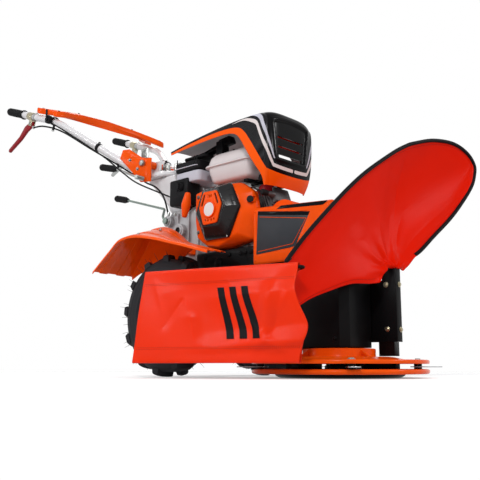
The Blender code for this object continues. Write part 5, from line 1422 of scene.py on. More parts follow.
@dataclass
class Fenders:
    """The two pressed fenders with their stays and screws."""

    stations: tuple = mm(
        (302, 375, 312, 374, 12), (252, 410, 262, 432, 50), (205, 442, 214, 490, 104), (162, 471, 172, 536, 158),
        (118, 480, 132, 543, 165), (67, 480, 95, 534, 146), (6, 470, 58, 517, 114), (-48, 458, 20, 492, 72),
        (-97, 444.5, -8, 471, 34), (-136, 434, -48, 457, 8), (-182, 421.5, -92, 444, 4),
        (-235, 405.5, -140, 430.5, 3), (-292, 389, -186, 417, 2))
    across: tuple = (
        (0.364, 0, -0.009, 0), (0.3628, 0, -0.0015, 0), (0.354, 0.05, 0, 0), (0.336, 0.15, 0, 0),
        (0.33, 0.18, -0.0026, 0), (0.3, 0.35, -0.0026, 0), (0.294, 0.38, 0, 0), (0.256, 0.58, 0, 0),
        (0.25, 0.62, -0.0026, 0), (0.218, 0.79, -0.0026, 0), (0.212, 0.83, 0, 0), (0.184, 0.98, 0, 0),
        (0.1755, 1.0, -0.001, 0.05), (0.1735, 1.0, -0.001, 0.5), (0.173, 1.0, -0.001, 1.0))

    def build(self) -> None:
        """Build both fenders."""
        for name, side in SIDES:
            bm = bmesh.new()

            def spot(u: float, v: float, way: int = side) -> Vector:
                """Return a point of the pressing: u across, v along."""
                x, share, step, hang = blend_rows(self.across, u)
                y, z, inner_y, inner_z, wall = blend_rows(self.stations, v)
                return Vector((way * x, y + (inner_y - y) * share, z + (inner_z - z) * share + step - wall * hang))
            add_surface(bm, 84, 130, spot)
            shell = settle(bm, f"fender_{name}_pressing", ORANGE_PAINT, [f"fender_{name}"], smooth=60, weld=0.0)
            thicken(shell, 0.0025)
            self.stay(name, side)

    def stay(self, name: str, side: int) -> None:
        """Build the folded stay that holds a fender's inner wall, and its screws."""
        outline = mm(
            (66.8, 478), (66.8, 445), (171.5, 445), (171.5, 500), (167.5, 500), (167.5, 449), (70.8, 449), (70.8, 478))
        bm = bmesh.new()
        seat = Matrix(((side, 0, 0, 0), (0, 0, -1, 0.09), (0, 1, 0, 0), (0, 0, 0, 1)))
        add_plate(bm, outline, 0.036, seat, 0.0008)
        settle(bm, f"fender_stay_{name}", ORANGE_PAINT)
        rib_screws = []
        for v, x, share in ((0.42, 0.345, 0.1), (0.42, 0.23, 0.72)):
            y, z, inner_y, inner_z, _ = blend_rows(self.stations, v)
            rib_screws.append(
                ((side * x, y + (inner_y - y) * share, z + (inner_z - z) * share + 0.0012), (side * 0.25, 0, 1)))
        fasteners(f"fender_screws_{name}", ZINC, rib_screws, 0.0042)


@dataclass
class Steering:
    """The column, the turntable, the handlebars and every hand control."""

    tube_radius: float = 0.0155
    grip_length: float = 0.125
    root: tuple = (0.1, 0.352, 0.8)
    knee: tuple = (0.28, 0.719, 1.066)
    tip: tuple = (0.3, 1.085, 1.197)
    bracket_back: float = 0.19
    tilt: tuple = (0, 0.335, 0.842)
    yaw_y: float = 0.3

    def corner(self, point: tuple, side: int) -> Vector:
        """Return one of the tube's corners on a side."""
        return Vector((side * point[0], point[1], point[2]))

    def along(self, side: int, back: float) -> Vector:
        """Return a point of a tube's straight top part, counted back from its end."""
        knee, tip = self.corner(self.knee, side), self.corner(self.tip, side)
        return tip + (knee - tip).normalized() * back

    def axis(self, side: int) -> Vector:
        """Return the direction of a tube's top part, towards the operator."""
        return (self.along(side, 0.0) - self.along(side, 0.1)).normalized()

    def build(self) -> None:
        """Build the column, the head, the bars and the controls."""
        self.column()
        self.head()
        for name, side in SIDES:
            self.bar(name, side)
            self.grip(name, side)
            self.bracket(name, side)
        self.brace()
        self.throttle()
        self.lock_lever()
        self.gear_lever()
        self.cables()

    def column(self) -> None:
        """Build the white column, its foot bolts and the turntable with its clamp."""
        refined("handlebar_column", "column_casting", WHITE_PAINT, 0.0025, 3)
        feet = [((x, y, 0.6345), (0, 0, 1)) for x in (-0.06, 0.06) for y in (0.085, 0.11)]
        fasteners("column_bolts", ZINC, feet, 0.006)
        refined("turntable", "turntable_casting", WHITE_PAINT, 0.0018, 3, 30, 30, body=Body.TURNTABLE)
        settle(
            add_spun(bmesh.new(), mm((84.5, 3), (85.8, 4), (85.8, 12), (84.5, 13), (83.5, 8)),
            (0, self.yaw_y, 0.7853), (0, 0, 1), 96, closed=True), "turntable_collar", WHITE_PAINT, body=Body.TURNTABLE)
        # Painted shade: thin black discs on the turntable's top stand for the dark inside of its index holes.
        holes = bmesh.new()
        for i in range(11):
            turn = math.radians(200 + 14 * i)
            at = (0.076 * math.cos(turn), self.yaw_y + 0.076 * math.sin(turn), 0.8094)
            add_spun(holes, mm((0, 0.4), (3.6, 0.4), (4.4, 0), (0, 0)), at, (0, 0, 1), 20)
        settle(holes, "turntable_hole_shade_discs", BLACK_PAINT, body=Body.TURNTABLE)
        clamp = bmesh.new()
        add_cylinder(clamp, (0, 0.262, 0.812), (0, 0.262, 0.85), 0.0105, 6, 0.001)
        add_spun(clamp, mm((0, 3), (17, 3), (18.5, 2), (18.5, 0), (0, 0)), (0, 0.262, 0.8093), (0, 0, 1), 40)
        add_block(clamp, (-0.004, 0.225, 0.842), (0.004, 0.266, 0.85), 0.002, 3)
        add_block(clamp, (-0.032, 0.284, 0.809), (-0.012, 0.311, 0.848), 0.0015, 2)
        add_cylinder(clamp, (-0.04, 0.298, 0.836), (-0.004, 0.298, 0.836), 0.006, 6, 0.0008)
        settle(clamp, "turntable_clamp_bolt", ZINC, body=Body.TURNTABLE)

    def head(self) -> None:
        """Build the orange head, its cheek bolts, the tilt pin's nuts and the serrated clamp."""
        fork = refined("handlebar_head", "head_fork", ORANGE_PAINT, 0.001, 2, 30, 40, body=Body.HANDLEBAR)
        way = (self.corner(self.knee, 1) - self.corner(self.root, 1)).normalized()
        cheek_y, shorten = 0.36, 0.36
        for vert in fork.data.vertices:
            back = (vert.co.y - SHIFT.y - cheek_y) / way.y
            if back > 0:
                vert.co -= Vector((math.copysign(way.x, vert.co.x - SHIFT.x), way.y, way.z)) * back * shorten
        splay = math.atan2(self.knee[0] - self.root[0], self.knee[1] - self.root[1])
        gap, cheek = 0.0034, 0.0032
        out = self.tube_radius + gap + cheek
        bolts = []
        for side in (-1, 1):
            normal = Vector((side * math.cos(splay), -math.sin(splay), 0))
            way = Vector((side * math.sin(splay), math.cos(splay), 0))
            start = self.corner(self.root, side) + normal * out
            for reach, z in ((0.016, 0.82), (0.05, 0.86)):
                bolts.append((start + way * reach + Vector((0, 0, z - start.z)), normal))
        fasteners("head_bolts", DARK_ZINC, bolts, 0.0045, body=Body.HANDLEBAR)
        bm = bmesh.new()
        add_cylinder(bm, (-0.128, self.tilt[1], self.tilt[2]), (-0.1125, self.tilt[1], self.tilt[2]), 0.0125, 6, 0.001)
        add_cylinder(bm, (0.1125, self.tilt[1], self.tilt[2]), (0.128, self.tilt[1], self.tilt[2]), 0.0125, 6, 0.001)
        settle(bm, "tilt_pin_nuts", ZINC, body=Body.HANDLEBAR)
        serrated = bmesh.new()
        add_block(serrated, (-0.112, 0.316, 0.862), (-0.1, 0.352, 0.906), 0.002, 3)
        for i in range(7):
            add_block(serrated, (-0.115, 0.32 + 0.0045 * i, 0.866), (-0.1118, 0.3225 + 0.0045 * i, 0.902), 0.0006, 2)
        settle(serrated, "height_clamp_block", ZINC, body=Body.HANDLEBAR)

    def bar(self, name: str, side: int) -> None:
        """Build one handlebar tube with its cable tie."""
        bm = bmesh.new()
        knots = [self.corner(p, side) for p in (self.root, self.knee, self.tip)]
        add_bar(bm, bent_path(knots, 0.07, 20), self.tube_radius, 12)
        settle(bm, f"bar_{name}_tube", WHITE_PAINT, [f"handlebar_{name}"], body=Body.HANDLEBAR)
        ties = bmesh.new()
        low = (knots[1] - knots[0]).normalized()
        at = knots[0] + low * 0.245
        add_spun(
            ties, [(self.tube_radius + 0.0004, 0.007), (self.tube_radius + 0.0022, 0.0065),
            (self.tube_radius + 0.0024, 0), (self.tube_radius + 0.0022, -0.0065),
            (self.tube_radius + 0.0004, -0.007)], at, low, 48, closed=True)
        add_block(
            ties, Vector((-0.004, -0.004, -0.003)), Vector((0.004, 0.004, 0.006)), 0.001, 2,
            Matrix.Translation(at + Vector((side * -0.006, 0.004, self.tube_radius + 0.004))))
        add_bar(
            ties, [at + Vector((0, 0, self.tube_radius + 0.004)), at
            + Vector((side * -0.01, 0.01, self.tube_radius + 0.01)),
            at + Vector((side * -0.018, 0.016, self.tube_radius + 0.008))], 0.0012, 2)
        settle(ties, f"cable_tie_{name}", BLACK_PLASTIC, body=Body.HANDLEBAR)

    def grip(self, name: str, side: int) -> None:
        """Build one rubber grip with its flange and its rings."""
        inner = self.tube_radius + 0.0002
        profile = [(inner, 0), (0.0205, 0), (0.0212, 0.0012), (0.0212, 0.0045), (0.02, 0.0062), (0.0178, 0.0085)]
        rings = 21
        for i in range(rings):
            base = 0.011 + i * 0.0051
            swell = 0.0176 + 0.0006 * math.sin(math.pi * i / (rings - 1))
            profile += [
                (swell - 0.0009, base), (swell, base + 0.0009), (swell, base + 0.003), (swell - 0.0009, base + 0.004)]
        end = self.grip_length + 0.0036
        profile += [(0.0178, end - 0.008), (0.0168, end - 0.0035), (0.014, end - 0.0008), (0.009, end), (0, end)]
        settle(
            add_spun(bmesh.new(), profile, self.along(side, self.grip_length), self.axis(side), 48),
            f"grip_{name}_rubber", SOFT_RUBBER, [f"grip_{name}"], body=Body.HANDLEBAR, smooth=50)

    def bracket(self, name: str, side: int) -> None:
        """Build one lever bracket with its pivot bolt, and the lever under it."""
        refined(f"lever_bracket_{name}", f"bracket_{name}", YELLOW_ZINC, 0.0005, 2, 30, 30, body=Body.HANDLEBAR)
        pivot = self.along(side, self.bracket_back) + Vector((0, 0, -0.034))
        bolts = [(pivot + Vector((way * 0.0102, 0, 0)), (way, 0, 0)) for way in (-1, 1)]
        fasteners(f"lever_pivot_{name}", ZINC, bolts, 0.0048, body=Body.HANDLEBAR)
        lever, body = (("clutch_lever", Body.CLUTCH_LEVER) if side < 0 else ("reverse_lever", Body.REVERSE_LEVER))
        refined(lever, f"{lever}_blade", RED_PLASTIC if side < 0 else ZINC, 0.0018, 3, 30, 40, body=body)
        strap = bmesh.new()
        at = self.along(side, self.bracket_back + 0.034)
        add_spun(
            strap, [(self.tube_radius + 0.0003, 0.006), (self.tube_radius + 0.0022, 0.006),
            (self.tube_radius + 0.0022, -0.006), (self.tube_radius + 0.0003, -0.006)], at, self.axis(side), 48,
            closed=True)
        add_hex_bolt(strap, at + Vector((side * -0.001, 0, self.tube_radius + 0.0022)), (0, -0.3, 1), 0.004, 0.004)
        settle(strap, f"bracket_strap_{name}", ZINC, body=Body.HANDLEBAR)

    def brace(self) -> None:
        """Build the pressed brace between the bars and its screws."""
        refined("crossbar", "brace_moulding", ORANGE_PLASTIC, 0.0035, 4, 30, 60, body=Body.HANDLEBAR)
        rise = (self.tip[2] - self.knee[2]) / (self.tip[1] - self.knee[1])
        screws = []
        for x, y in ((-0.15, 0.752), (0.15, 0.752), (-0.282, 0.704), (0.282, 0.704), (-0.285, 0.822), (0.285, 0.822)):
            arch = max(0.0, 0.03 * (1 - (x / 0.3) ** 2))
            z = self.knee[2] + (y - self.knee[1]) * rise + self.tube_radius + 0.0165 + arch + 0.0132
            screws.append(((x, y, z), (0, -rise, 1)))
        fasteners("brace_screws", BLACK_PAINT, screws, 0.005, body=Body.HANDLEBAR, screws=True)

    def throttle(self) -> None:
        """Build the round throttle control, its bolt and its thumb lever."""
        centre = Vector((-self.knee[0] - 0.027, self.knee[1] + 0.024, self.knee[2] + 0.01))
        settle(
            add_spun(bmesh.new(), mm((0, 8), (15, 8), (17.2, 7.4), (18.4, 5.5), (18.6, 0), (18.6, -6.2), (17.6, -8),
            (0, -8)), centre, (-1, 0, 0), 64), "throttle_housing", BLACK_PLASTIC, ["throttle_body"],
            body=Body.HANDLEBAR)
        clamp = bmesh.new()
        at = self.corner(self.knee, -1) + Vector((0, 0.02, 0.0075))
        add_spun(
            clamp, [(self.tube_radius + 0.0005, 0.008), (self.tube_radius + 0.003, 0.007),
            (self.tube_radius + 0.003, -0.007), (self.tube_radius + 0.0005, -0.008)], at, self.axis(-1), 48,
            closed=True)
        add_cylinder(clamp, at + Vector((0, 0, -0.016)), at + Vector((-0.002, 0.006, -0.04)), 0.005, 24, 0.001)
        settle(clamp, "throttle_clamp", BLACK_PLASTIC, body=Body.HANDLEBAR)
        refined("throttle_lever", "throttle_thumb_lever", BLACK_PLASTIC, 0.0008, 2, 30, 40, body=Body.THROTTLE_LEVER)
        fasteners(
            "throttle_bolts", ZINC, [(at + Vector((-0.002, 0.006, -0.04)), (-0.05, 0.2, -1))], 0.0048,
            body=Body.HANDLEBAR)

    def lock_lever(self) -> None:
        """Build the tilt lock: a plated rod, its hub, its grip and the trigger on it."""
        start, joint, tip = Vector((-0.15, 0.328, 0.776)), Vector((-0.15, 0.462, 0.834)), Vector((-0.15, 0.574, 0.864))
        rod = bmesh.new()
        add_bar(rod, bent_path([start, joint, joint + (tip - joint) * 0.3], 0.02, 10), 0.005, 6)
        add_spun(rod, mm((0, 30), (8.5, 30), (9.8, 29), (9.8, -6), (8.5, -7), (0, -7)), start, (1, 0, 0), 40)
        settle(rod, "lock_lever_rod", ZINC, ["lock_lever"], body=Body.LOCK_LEVER)
        grip = bmesh.new()
        way = (tip - joint).normalized()
        add_spun(grip, self.handle_profile(0.112, 0.0145), joint - way * 0.0022, way, 40)
        settle(grip, "lock_lever_grip", SOFT_RUBBER, body=Body.LOCK_LEVER, smooth=50)
        stem = bmesh.new()
        up = joint + Vector((0, -0.01, 0.004))
        add_cylinder(stem, up, up + Vector((0, 0.006, 0.03)), 0.0048, 32, 0.0012)
        add_block(stem, up + Vector((-0.007, -0.004, 0.024)), up + Vector((0.007, 0.014, 0.034)), 0.003, 3)
        settle(stem, "lock_lever_trigger", BLACK_PLASTIC, body=Body.LOCK_LEVER)

    def handle_profile(self, length: float, radius: float) -> list[tuple[float, float]]:
        """Return the profile of a moulded lever grip with a waist, a collar and fine rings."""
        rows = [
            (0, 0), (radius * 0.55, 0), (radius * 0.62, 0.0012), (radius * 0.78, 0.012), (radius * 0.9, 0.02),
            (radius, 0.026), (radius, 0.0275), (radius * 0.93, 0.0285)]
        for i in range(14):
            base = 0.031 + i * (length - 0.046) / 14
            rows += [
                (radius * 0.93, base), (radius * 0.985, base + 0.0012), (radius * 0.985, base + 0.0026),
                (radius * 0.93, base + 0.0038)]
        return rows + [
            (radius, length - 0.013), (radius, length - 0.008), (radius * 0.9, length - 0.003),
            (radius * 0.6, length - 0.0005), (0, length)]

    def gear_lever(self) -> None:
        """Build the gear lever: a plated rod, its hub and its black grip."""
        pivot = Vector((-0.0935, 0.215, 0.59))
        start, tip = Vector((-0.03, 0.535, 0.7342)), Vector((-0.0157, 0.6379, 0.7614))
        rod = bmesh.new()
        add_bar(
            rod, bent_path([pivot, (-0.0935, 0.234, 0.608), (-0.0592, 0.262, 0.65), start,
            start + (tip - start) * 0.3], 0.012, 10), 0.005, 6)
        add_spun(rod, mm((0, 7), (10.5, 7), (11.8, 6), (11.8, -7), (10.5, -8), (0, -8)), pivot, (1, 0, 0), 40)
        settle(rod, "gear_lever_rod", GREEN_ZINC, ["gear_lever"], body=Body.GEAR_LEVER)
        settle(
            add_spun(bmesh.new(), self.handle_profile(0.104, 0.0145), start, tip - start, 40), "gear_lever_handle",
            SOFT_RUBBER, body=Body.GEAR_LEVER, smooth=50)

    def cables(self) -> None:
        """Build the control cables, split where they cross the tilt and the yaw joints."""
        throttle = smooth_path(
            [(-0.307, 0.722, 1.056), (-0.27, 0.64, 0.998), (-0.195, 0.5, 0.888), (-0.172, 0.39, 0.8),
            (-0.168, 0.3, 0.742), (-0.12, 0.2, 0.69), (-0.09, 0.17, 0.672)], 14)
        upper = smooth_path(
            [(-0.2945, 0.884, 1.0755), (-0.292, 0.8, 1.062), (-0.27, 0.69, 1.018), (-0.205, 0.57, 0.931),
            (-0.145, 0.45, 0.8465), (-0.098, 0.33, 0.762)], 14)
        lower = smooth_path(
            [(-0.0976, 0.3291, 0.7615), (-0.0806, 0.2897, 0.7383), (-0.079, 0.245, 0.69), (-0.079, 0.215, 0.613)], 14)
        self.cable("throttle_cable_top", throttle[:43], 0.003, ["throttle_cable"])
        self.cable(
            "throttle_cable_middle", throttle[42:57], 0.003, [], Bend(Body.TURNTABLE, Body.HANDLEBAR, throttle[56],
            throttle[42]))
        self.cable(
            "throttle_cable_bottom", throttle[56:], 0.003, [], Bend(Body.CHASSIS, Body.TURNTABLE, throttle[-1],
            throttle[56]))
        self.cable("clutch_cable_top", upper[:57], 0.0035, ["clutch_cable_upper"])
        self.cable(
            "clutch_cable_middle", upper[56:], 0.0035, [], Bend(Body.TURNTABLE, Body.HANDLEBAR, upper[-1], upper[56]))
        self.cable(
            "clutch_cable_bottom", lower, 0.0035, ["clutch_cable_lower"],
            Bend(Body.CHASSIS, Body.TURNTABLE, lower[24], lower[0]))
        settle(
            add_spun(bmesh.new(), mm((0, 16), (4.2, 16), (5, 14), (5, 2), (0, 0)), (-0.079, 0.215, 0.612), (0, 0, 1),
            32), "clutch_cable_ferrule", ZINC)
        settle(
            add_spun(bmesh.new(), mm((0, 12), (3, 12), (3.6, 11.2), (3.6, 6), (5.2, 5.6), (5.2, -1), (4.4, -6),
            (0, -6)), upper[0], (0.05, 0.72, 0.69), 32), "clutch_cable_adjuster", ZINC, body=Body.HANDLEBAR)

    @staticmethod
    def cable(
            name: str, path: Sequence[Vector], radius: float, replaces: Sequence[str],
            bend: Optional[Bend] = None) -> None:
        """Build one stretch of a cable."""
        settle(add_bar(bmesh.new(), path, radius, 5), name, SOFT_RUBBER, replaces, body=Body.HANDLEBAR, bend=bend)


@dataclass
class Mower:
    """The rotor with its swinging knives, the pan, the housing and the front post."""

    disc_radius: float = 0.2765
    pin_radius: float = 0.248
    pin_angle: float = -47.0
    low: tuple = (0.012, 0.027)
    high: tuple = (0.0405, 0.055)
    ring_top: float = 0.0895
    sheet: float = 0.004

    def pins(self) -> list[tuple[float, float]]:
        """Return the places of the four knife pins."""
        return [
            (self.pin_radius * math.cos(math.radians(self.pin_angle + 90 * i)),
            ROTOR.y + self.pin_radius * math.sin(math.radians(self.pin_angle + 90 * i))) for i in range(4)]

    def build(self) -> None:
        """Build every piece of the mower."""
        self.lower_disc()
        self.upper_disc()
        self.knives()
        self.pan()
        self.housing()
        self.post()

    def lower_disc(self) -> None:
        """Build the dished lower disc, the knives' spacers, the hub and the vanes."""
        low, high = self.low
        r = self.disc_radius
        profile = [
            (0, high), (r - 0.008, high), (r - 0.003, high - 0.0012), (r - 0.0005, high - 0.004), (r, high - 0.007),
            (r - 0.0005, low + 0.004), (r - 0.003, low + 0.0012), (r - 0.007, low), (r - 0.012, low),
            (r - 0.0145, low + 0.001), (r - 0.0158, low + 0.004), (r - 0.0165, high - self.sheet),
            (0, high - self.sheet)]
        settle(
            add_spun(bmesh.new(), profile, ROTOR, (0, 0, 1), 160), "rotor_dish", ORANGE_PAINT, ["rotor_lower_disc"],
            body=Body.ROTOR)
        spacers = bmesh.new()
        top = self.high[1] - self.sheet
        for x, y in self.pins():
            add_spun(
                spacers, [(0.0125, top - 0.0003), (0.0125, high + 0.0005), (0.0165, high + 0.0003),
                (0.0165, high - 0.0005), (0, high - 0.0005), (0, top - 0.0003)], (x, y, 0), (0, 0, 1), 40, closed=True)
        add_spun(
            spacers, [(0, self.ring_top - 0.0045), (0.032, self.ring_top - 0.0045), (0.032, 0.04), (0.046, 0.037),
            (0.046, high - 0.0005), (0, high - 0.0005)], ROTOR, (0, 0, 1), 64)
        settle(spacers, "knife_spacers", BLACK_PAINT, body=Body.ROTOR)
        scrapers = bmesh.new()
        for i in range(4):
            turn = math.radians(self.pin_angle + 45 + 90 * i)
            add_block(
                scrapers, (0.1, -0.012, high + 0.0002), (0.215, 0.012, self.high[0] + 0.009), 0.002, 2,
                Matrix.Translation(ROTOR) @ Matrix.Rotation(turn, 4, "Z"))
        settle(scrapers, "rotor_vanes", BLACK_PAINT, body=Body.ROTOR)

    def upper_disc(self) -> None:
        """Build the domed upper disc with its ring, gussets and bolt heads."""
        low, high = self.high
        r, top = self.disc_radius, self.ring_top
        profile = [
            (0, 0.105), (0.028, 0.105), (0.03, 0.1035), (0.03, top), (0.112, top), (0.1145, top - 0.001),
            (0.115, top - 0.003), (0.115, 0.0675), (0.1165, 0.0652), (0.12, 0.0648), (0.16, 0.064), (0.175, 0.0622),
            (0.2, 0.0568), (0.215, high), (r - 0.007, high), (r - 0.0025, high - 0.001), (r - 0.0003, high - 0.004),
            (r, high - 0.007), (r - 0.001, low + 0.0025), (r - 0.004, low + 0.002), (r - 0.0075, low + 0.002),
            (r - 0.009, low + 0.004), (r - 0.01, high - self.sheet), (0.213, high - self.sheet), (0.199, 0.0528),
            (0.174, 0.0582), (0.158, 0.06), (0.111, 0.061), (0.111, top - self.sheet), (0, top - self.sheet)]
        settle(
            add_spun(bmesh.new(), profile, ROTOR, (0, 0, 1), 160), "rotor_dome", ORANGE_PAINT, ["rotor_upper_disc"],
            body=Body.ROTOR)
        gussets = bmesh.new()
        for i in range(4):
            turn = math.radians(self.pin_angle - 62 + 90 * i)
            seat = Matrix.Translation(ROTOR) @ Matrix.Rotation(turn, 4, "Z") @ Matrix.Rotation(math.pi / 2, 4, "X")
            add_plate(gussets, [(0.1145, 0.064), (0.152, 0.064), (0.1145, 0.086)], 0.004, seat, 0.0008)
        settle(gussets, "rotor_gussets", ORANGE_PAINT, body=Body.ROTOR)
        places = [((x, y, high + 0.0004), (0, 0, 1)) for x, y in self.pins()]
        fasteners("knife_bolts", ZINC, places, 0.0085, body=Body.ROTOR)

    def knives(self) -> None:
        """Build the four swinging knives with ground edges."""
        for i, body in enumerate((Body.KNIFE_A, Body.KNIFE_B, Body.KNIFE_C, Body.KNIFE_D), 1):
            refined(f"knife_{i}", f"knife_{i}_blade", STEEL, 0.0004, 2, 57.3, 30, body=body)

    def pan(self) -> None:
        """Build the free-turning pan under the rotor."""
        profile = [
            (0, 0.0227), (0.029, 0.0227), (0.03, 0.0217), (0.03, 0.005), (0.034, self.sheet), (0.184, self.sheet),
            (0.188, 0.0052), (0.1965, 0.0122), (0.199, 0.0128), (0.2025, 0.0105), (0.2028, 0.009), (0.199, 0.0055),
            (0.191, 0.0012), (0.186, 0), (0, 0)]
        settle(
            add_spun(bmesh.new(), profile, ROTOR, (0, 0, 1), 144), "skid_dish", BLACK_PAINT, ["skid_pan"],
            body=Body.PAN)

    def housing(self) -> None:
        """Build the folded housing with its lid and bolts, and the drive tube."""
        refined("mower_housing", "mower_case", BLACK_PAINT, 0.0014, 3, 20, 30)
        refined("mower_drive_tube", "drive_tube", BLACK_PAINT, 0.0012, 2, 30, 30)
        bolts = [
            ((side * 0.0792, y, z), (side, 0, 0)) for side in (-1, 1) for y in (-0.358, -0.42, -0.56)
            for z in (0.118, 0.3)]
        fasteners("housing_bolts", BLACK_PAINT, bolts, 0.0055)
        flange = []
        for i in range(6):
            turn = math.tau * i / 6
            flange.append(((0.047 * math.cos(turn), -0.3328, 0.205 + 0.047 * math.sin(turn)), (0, 1, 0)))
        fasteners("drive_tube_bolts", ZINC, flange, 0.0055)
        settle(
            add_plate(bmesh.new(), [(-0.07, -0.352), (-0.07, -0.574), (-0.052, -0.592), (0.058, -0.592),
            (0.072, -0.578), (0.072, -0.352)], 0.003, Matrix.Translation((0, 0, 0.3266)), 0.001), "mower_case_lid",
            BLACK_PAINT)

    def post(self) -> None:
        """Build the front channel with its plated bolts."""
        refined("hoop_post", "hoop_channel", BLACK_PAINT, 0.0008, 2, 30, 30)
        bolts = [((0.1005, -0.6864, z), (0, -1, 0)) for z in (0.29, 0.148)]
        bolts += [((0.0792, -0.65, z), (-1, 0, 0)) for z in (0.29, 0.15)]
        fasteners("post_bolts", YELLOW_ZINC, bolts, 0.006)


@dataclass
class Guards:
    """The two coated-cloth guards with their rods, bindings, hems and seams."""

    cloth: float = 0.0014
    hoop_axis: tuple = (0.9695, -0.2451, 0)
    hoop_origin: tuple = (0, -0.656, 0)
    upper: tuple = mm(
        (-330, 335), (-288, 383), (-227, 449), (-150, 528), (-55, 610), (30, 675), (90, 713), (125, 735), (165, 756),
        (210, 774), (300, 799), (400, 804), (470, 780), (504, 742))
    back: tuple = mm((502, 705), (481, 658), (421, 588), (359, 528), (275, 460), (207, 404))
    lower: tuple = mm(
        (-330, 190), (-288, 205), (-245, 228), (-180, 252), (-90, 280), (-10, 286), (45, 295), (85, 307), (115, 321),
        (150, 350), (185, 384), (275, 454), (400, 562), (501, 700))
    heel: tuple = mm((-301, -572, 315.3), (-301.5, -574, 340))
    foot: tuple = mm((165, -682, 378), (112, -668, 352), (94, -665, 332), (94, -665, 260))
    front: tuple = (-0.33, -0.622, 0)
    rear: tuple = (-0.482, -0.14, 0)
    top: float = 0.322
    bottom: float = 0.045
    hem: tuple = mm((36, 3.4), (20, 14.4), (4, 15.2), (0, 7), (4, 1))
    bar_inward: float = 0.0078
    bar_drop: float = 0.012
    notch: tuple = (0.026, 0.06, 0.112, 0.146, 0.3395)
    puckers: tuple = (0.088, 0.335, 0.01, 9.0)
    hoop_creases: tuple = (
        (0.5, 0.95, 0.36, 0.62, 0.016, 0.006), (0.52, 0.95, 0.44, 0.42, 0.02, -0.005),
        (0.56, 0.92, 0.6, 0.52, 0.018, 0.0055), (0.6, 0.92, 0.72, 0.55, 0.018, 0.005),
        (0.62, 0.95, 0.84, 0.8, 0.016, 0.005))
    side_folds: tuple = ((0.12, 0.86, 0.34, 0.76, 0.05, 0.005), (0.8, 0.25, 0.6, 0.8, 0.07, 0.006))
    shelves: tuple = ((0.135, 0.27, 0.62, 0.1, 0.85, 0.0095), (0.62, 0.775, 0.86, 0.13, 0.75, 0.01))
    side_creases: tuple = (
        (0.19, 0.78, 0.31, 0.55, 0.026, 0.01), (0.19, 0.78, 0.3, 0.96, 0.022, 0.008),
        (0.19, 0.78, 0.13, 0.5, 0.024, -0.008), (0.19, 0.78, 0.05, 0.92, 0.02, 0.006),
        (0.71, 0.3, 0.66, 0.52, 0.024, 0.007), (0.66, 0.52, 0.61, 0.88, 0.026, 0.007),
        (0.71, 0.3, 0.82, 0.62, 0.022, -0.006), (0.92, 0.12, 0.84, 0.46, 0.024, 0.005),
        (0.4, 0.92, 0.58, 0.8, 0.02, 0.004), (0.05, 0.3, 0.12, 0.5, 0.018, 0.004),
        (0.44, 0.13, 0.36, 0.3, 0.018, 0.003))

    def build(self) -> None:
        """Build the rods, the cloths and everything sewn to them."""
        self.rods()
        self.hoop()
        self.side()

    @staticmethod
    def crease(creases: Sequence[tuple], t: float, u: float, power: float = 1.0) -> float:
        """Return how far the creases lift the cloth at (t, u): sharp with power 1, soft with power 2."""
        lift = 0.0
        for t0, u0, t1, u1, width, height in creases:
            dt, du = t1 - t0, u1 - u0
            share = min(1.0, max(0.0, ((t - t0) * dt + (u - u0) * du) / (dt * dt + du * du)))
            off = math.hypot(t - t0 - share * dt, u - u0 - share * du)
            lift += height * math.exp(-(off / width) ** power) * (1.0 - 0.7 * share)
        return lift

    def on_hoop(self, across: float, z: float) -> Vector:
        """Return a point of the upright plane that the hoop lies in."""
        point = Vector(self.hoop_origin) + Vector(self.hoop_axis) * across
        return Vector((point.x, point.y, z))

    def hoop_cloth(self, t: float, u: float) -> Vector:
        """Return a point of the hoop's cloth: t along the hoop, u from its top to its lower edge."""
        top = self.on_hoop(*blend_rows(self.upper, t))
        across, height = blend_rows(self.lower, t)
        start, full, fading, end, clear = self.notch
        gap = ease(start, full, across) * ease(end, fading, across) * ease(0.8, 1.0, u)
        low = self.on_hoop(across, height + max(0.0, clear - height) * gap)
        deep = 0.01 + 0.052 * min(1.0, max(0.0, (t - 0.15) / 0.5)) ** 1.5
        belly = deep * math.sin(math.pi * u) * math.sin(math.pi * min(1.0, t + 0.02)) ** 0.6
        belly += self.crease(self.hoop_creases, t, u) * math.sin(math.pi * min(1.0, u * 1.02))
        curl = 0.004 * math.exp(-((1 - u) / 0.03) ** 2) * ease(0.48, 0.4, t) - 0.007 * gap
        point = top.lerp(low, u)
        s0, z0, size, waves = self.puckers
        ds = (point - Vector(self.hoop_origin)).dot(Vector(self.hoop_axis)) - s0
        reach = math.hypot(ds, point.z - z0)
        pucker = (
            size * math.sin(waves * math.atan2(point.z - z0, ds) + 0.7) * math.exp(-reach / 0.06)
            * (1.0 - math.exp(-reach / 0.01)))
        return point + self.hoop_normal() * (belly + curl + pucker)

    def hoop_route(self, first: Sequence[Point], last: Sequence[Point]) -> list[Vector]:
        """Return the smooth route over the hoop that starts and ends with the given points."""
        middle = [self.on_hoop(s, z) for s, z in self.upper[:8:2] + self.upper[8:] + self.back]
        return smooth_path([*first, *middle, *last], 10)

    def hoop_normal(self) -> Vector:
        """Return the level direction that the hoop's cloth faces."""
        return Vector((-self.hoop_axis[1], self.hoop_axis[0], 0))

    def rods(self) -> None:
        """Build the hoop's rod and the side guard's arm."""
        settle(
            add_bar(bmesh.new(), self.hoop_route(self.heel, self.foot), 0.005, 5), "hoop_bar", BLACK_PAINT,
            ["hoop_rod"])

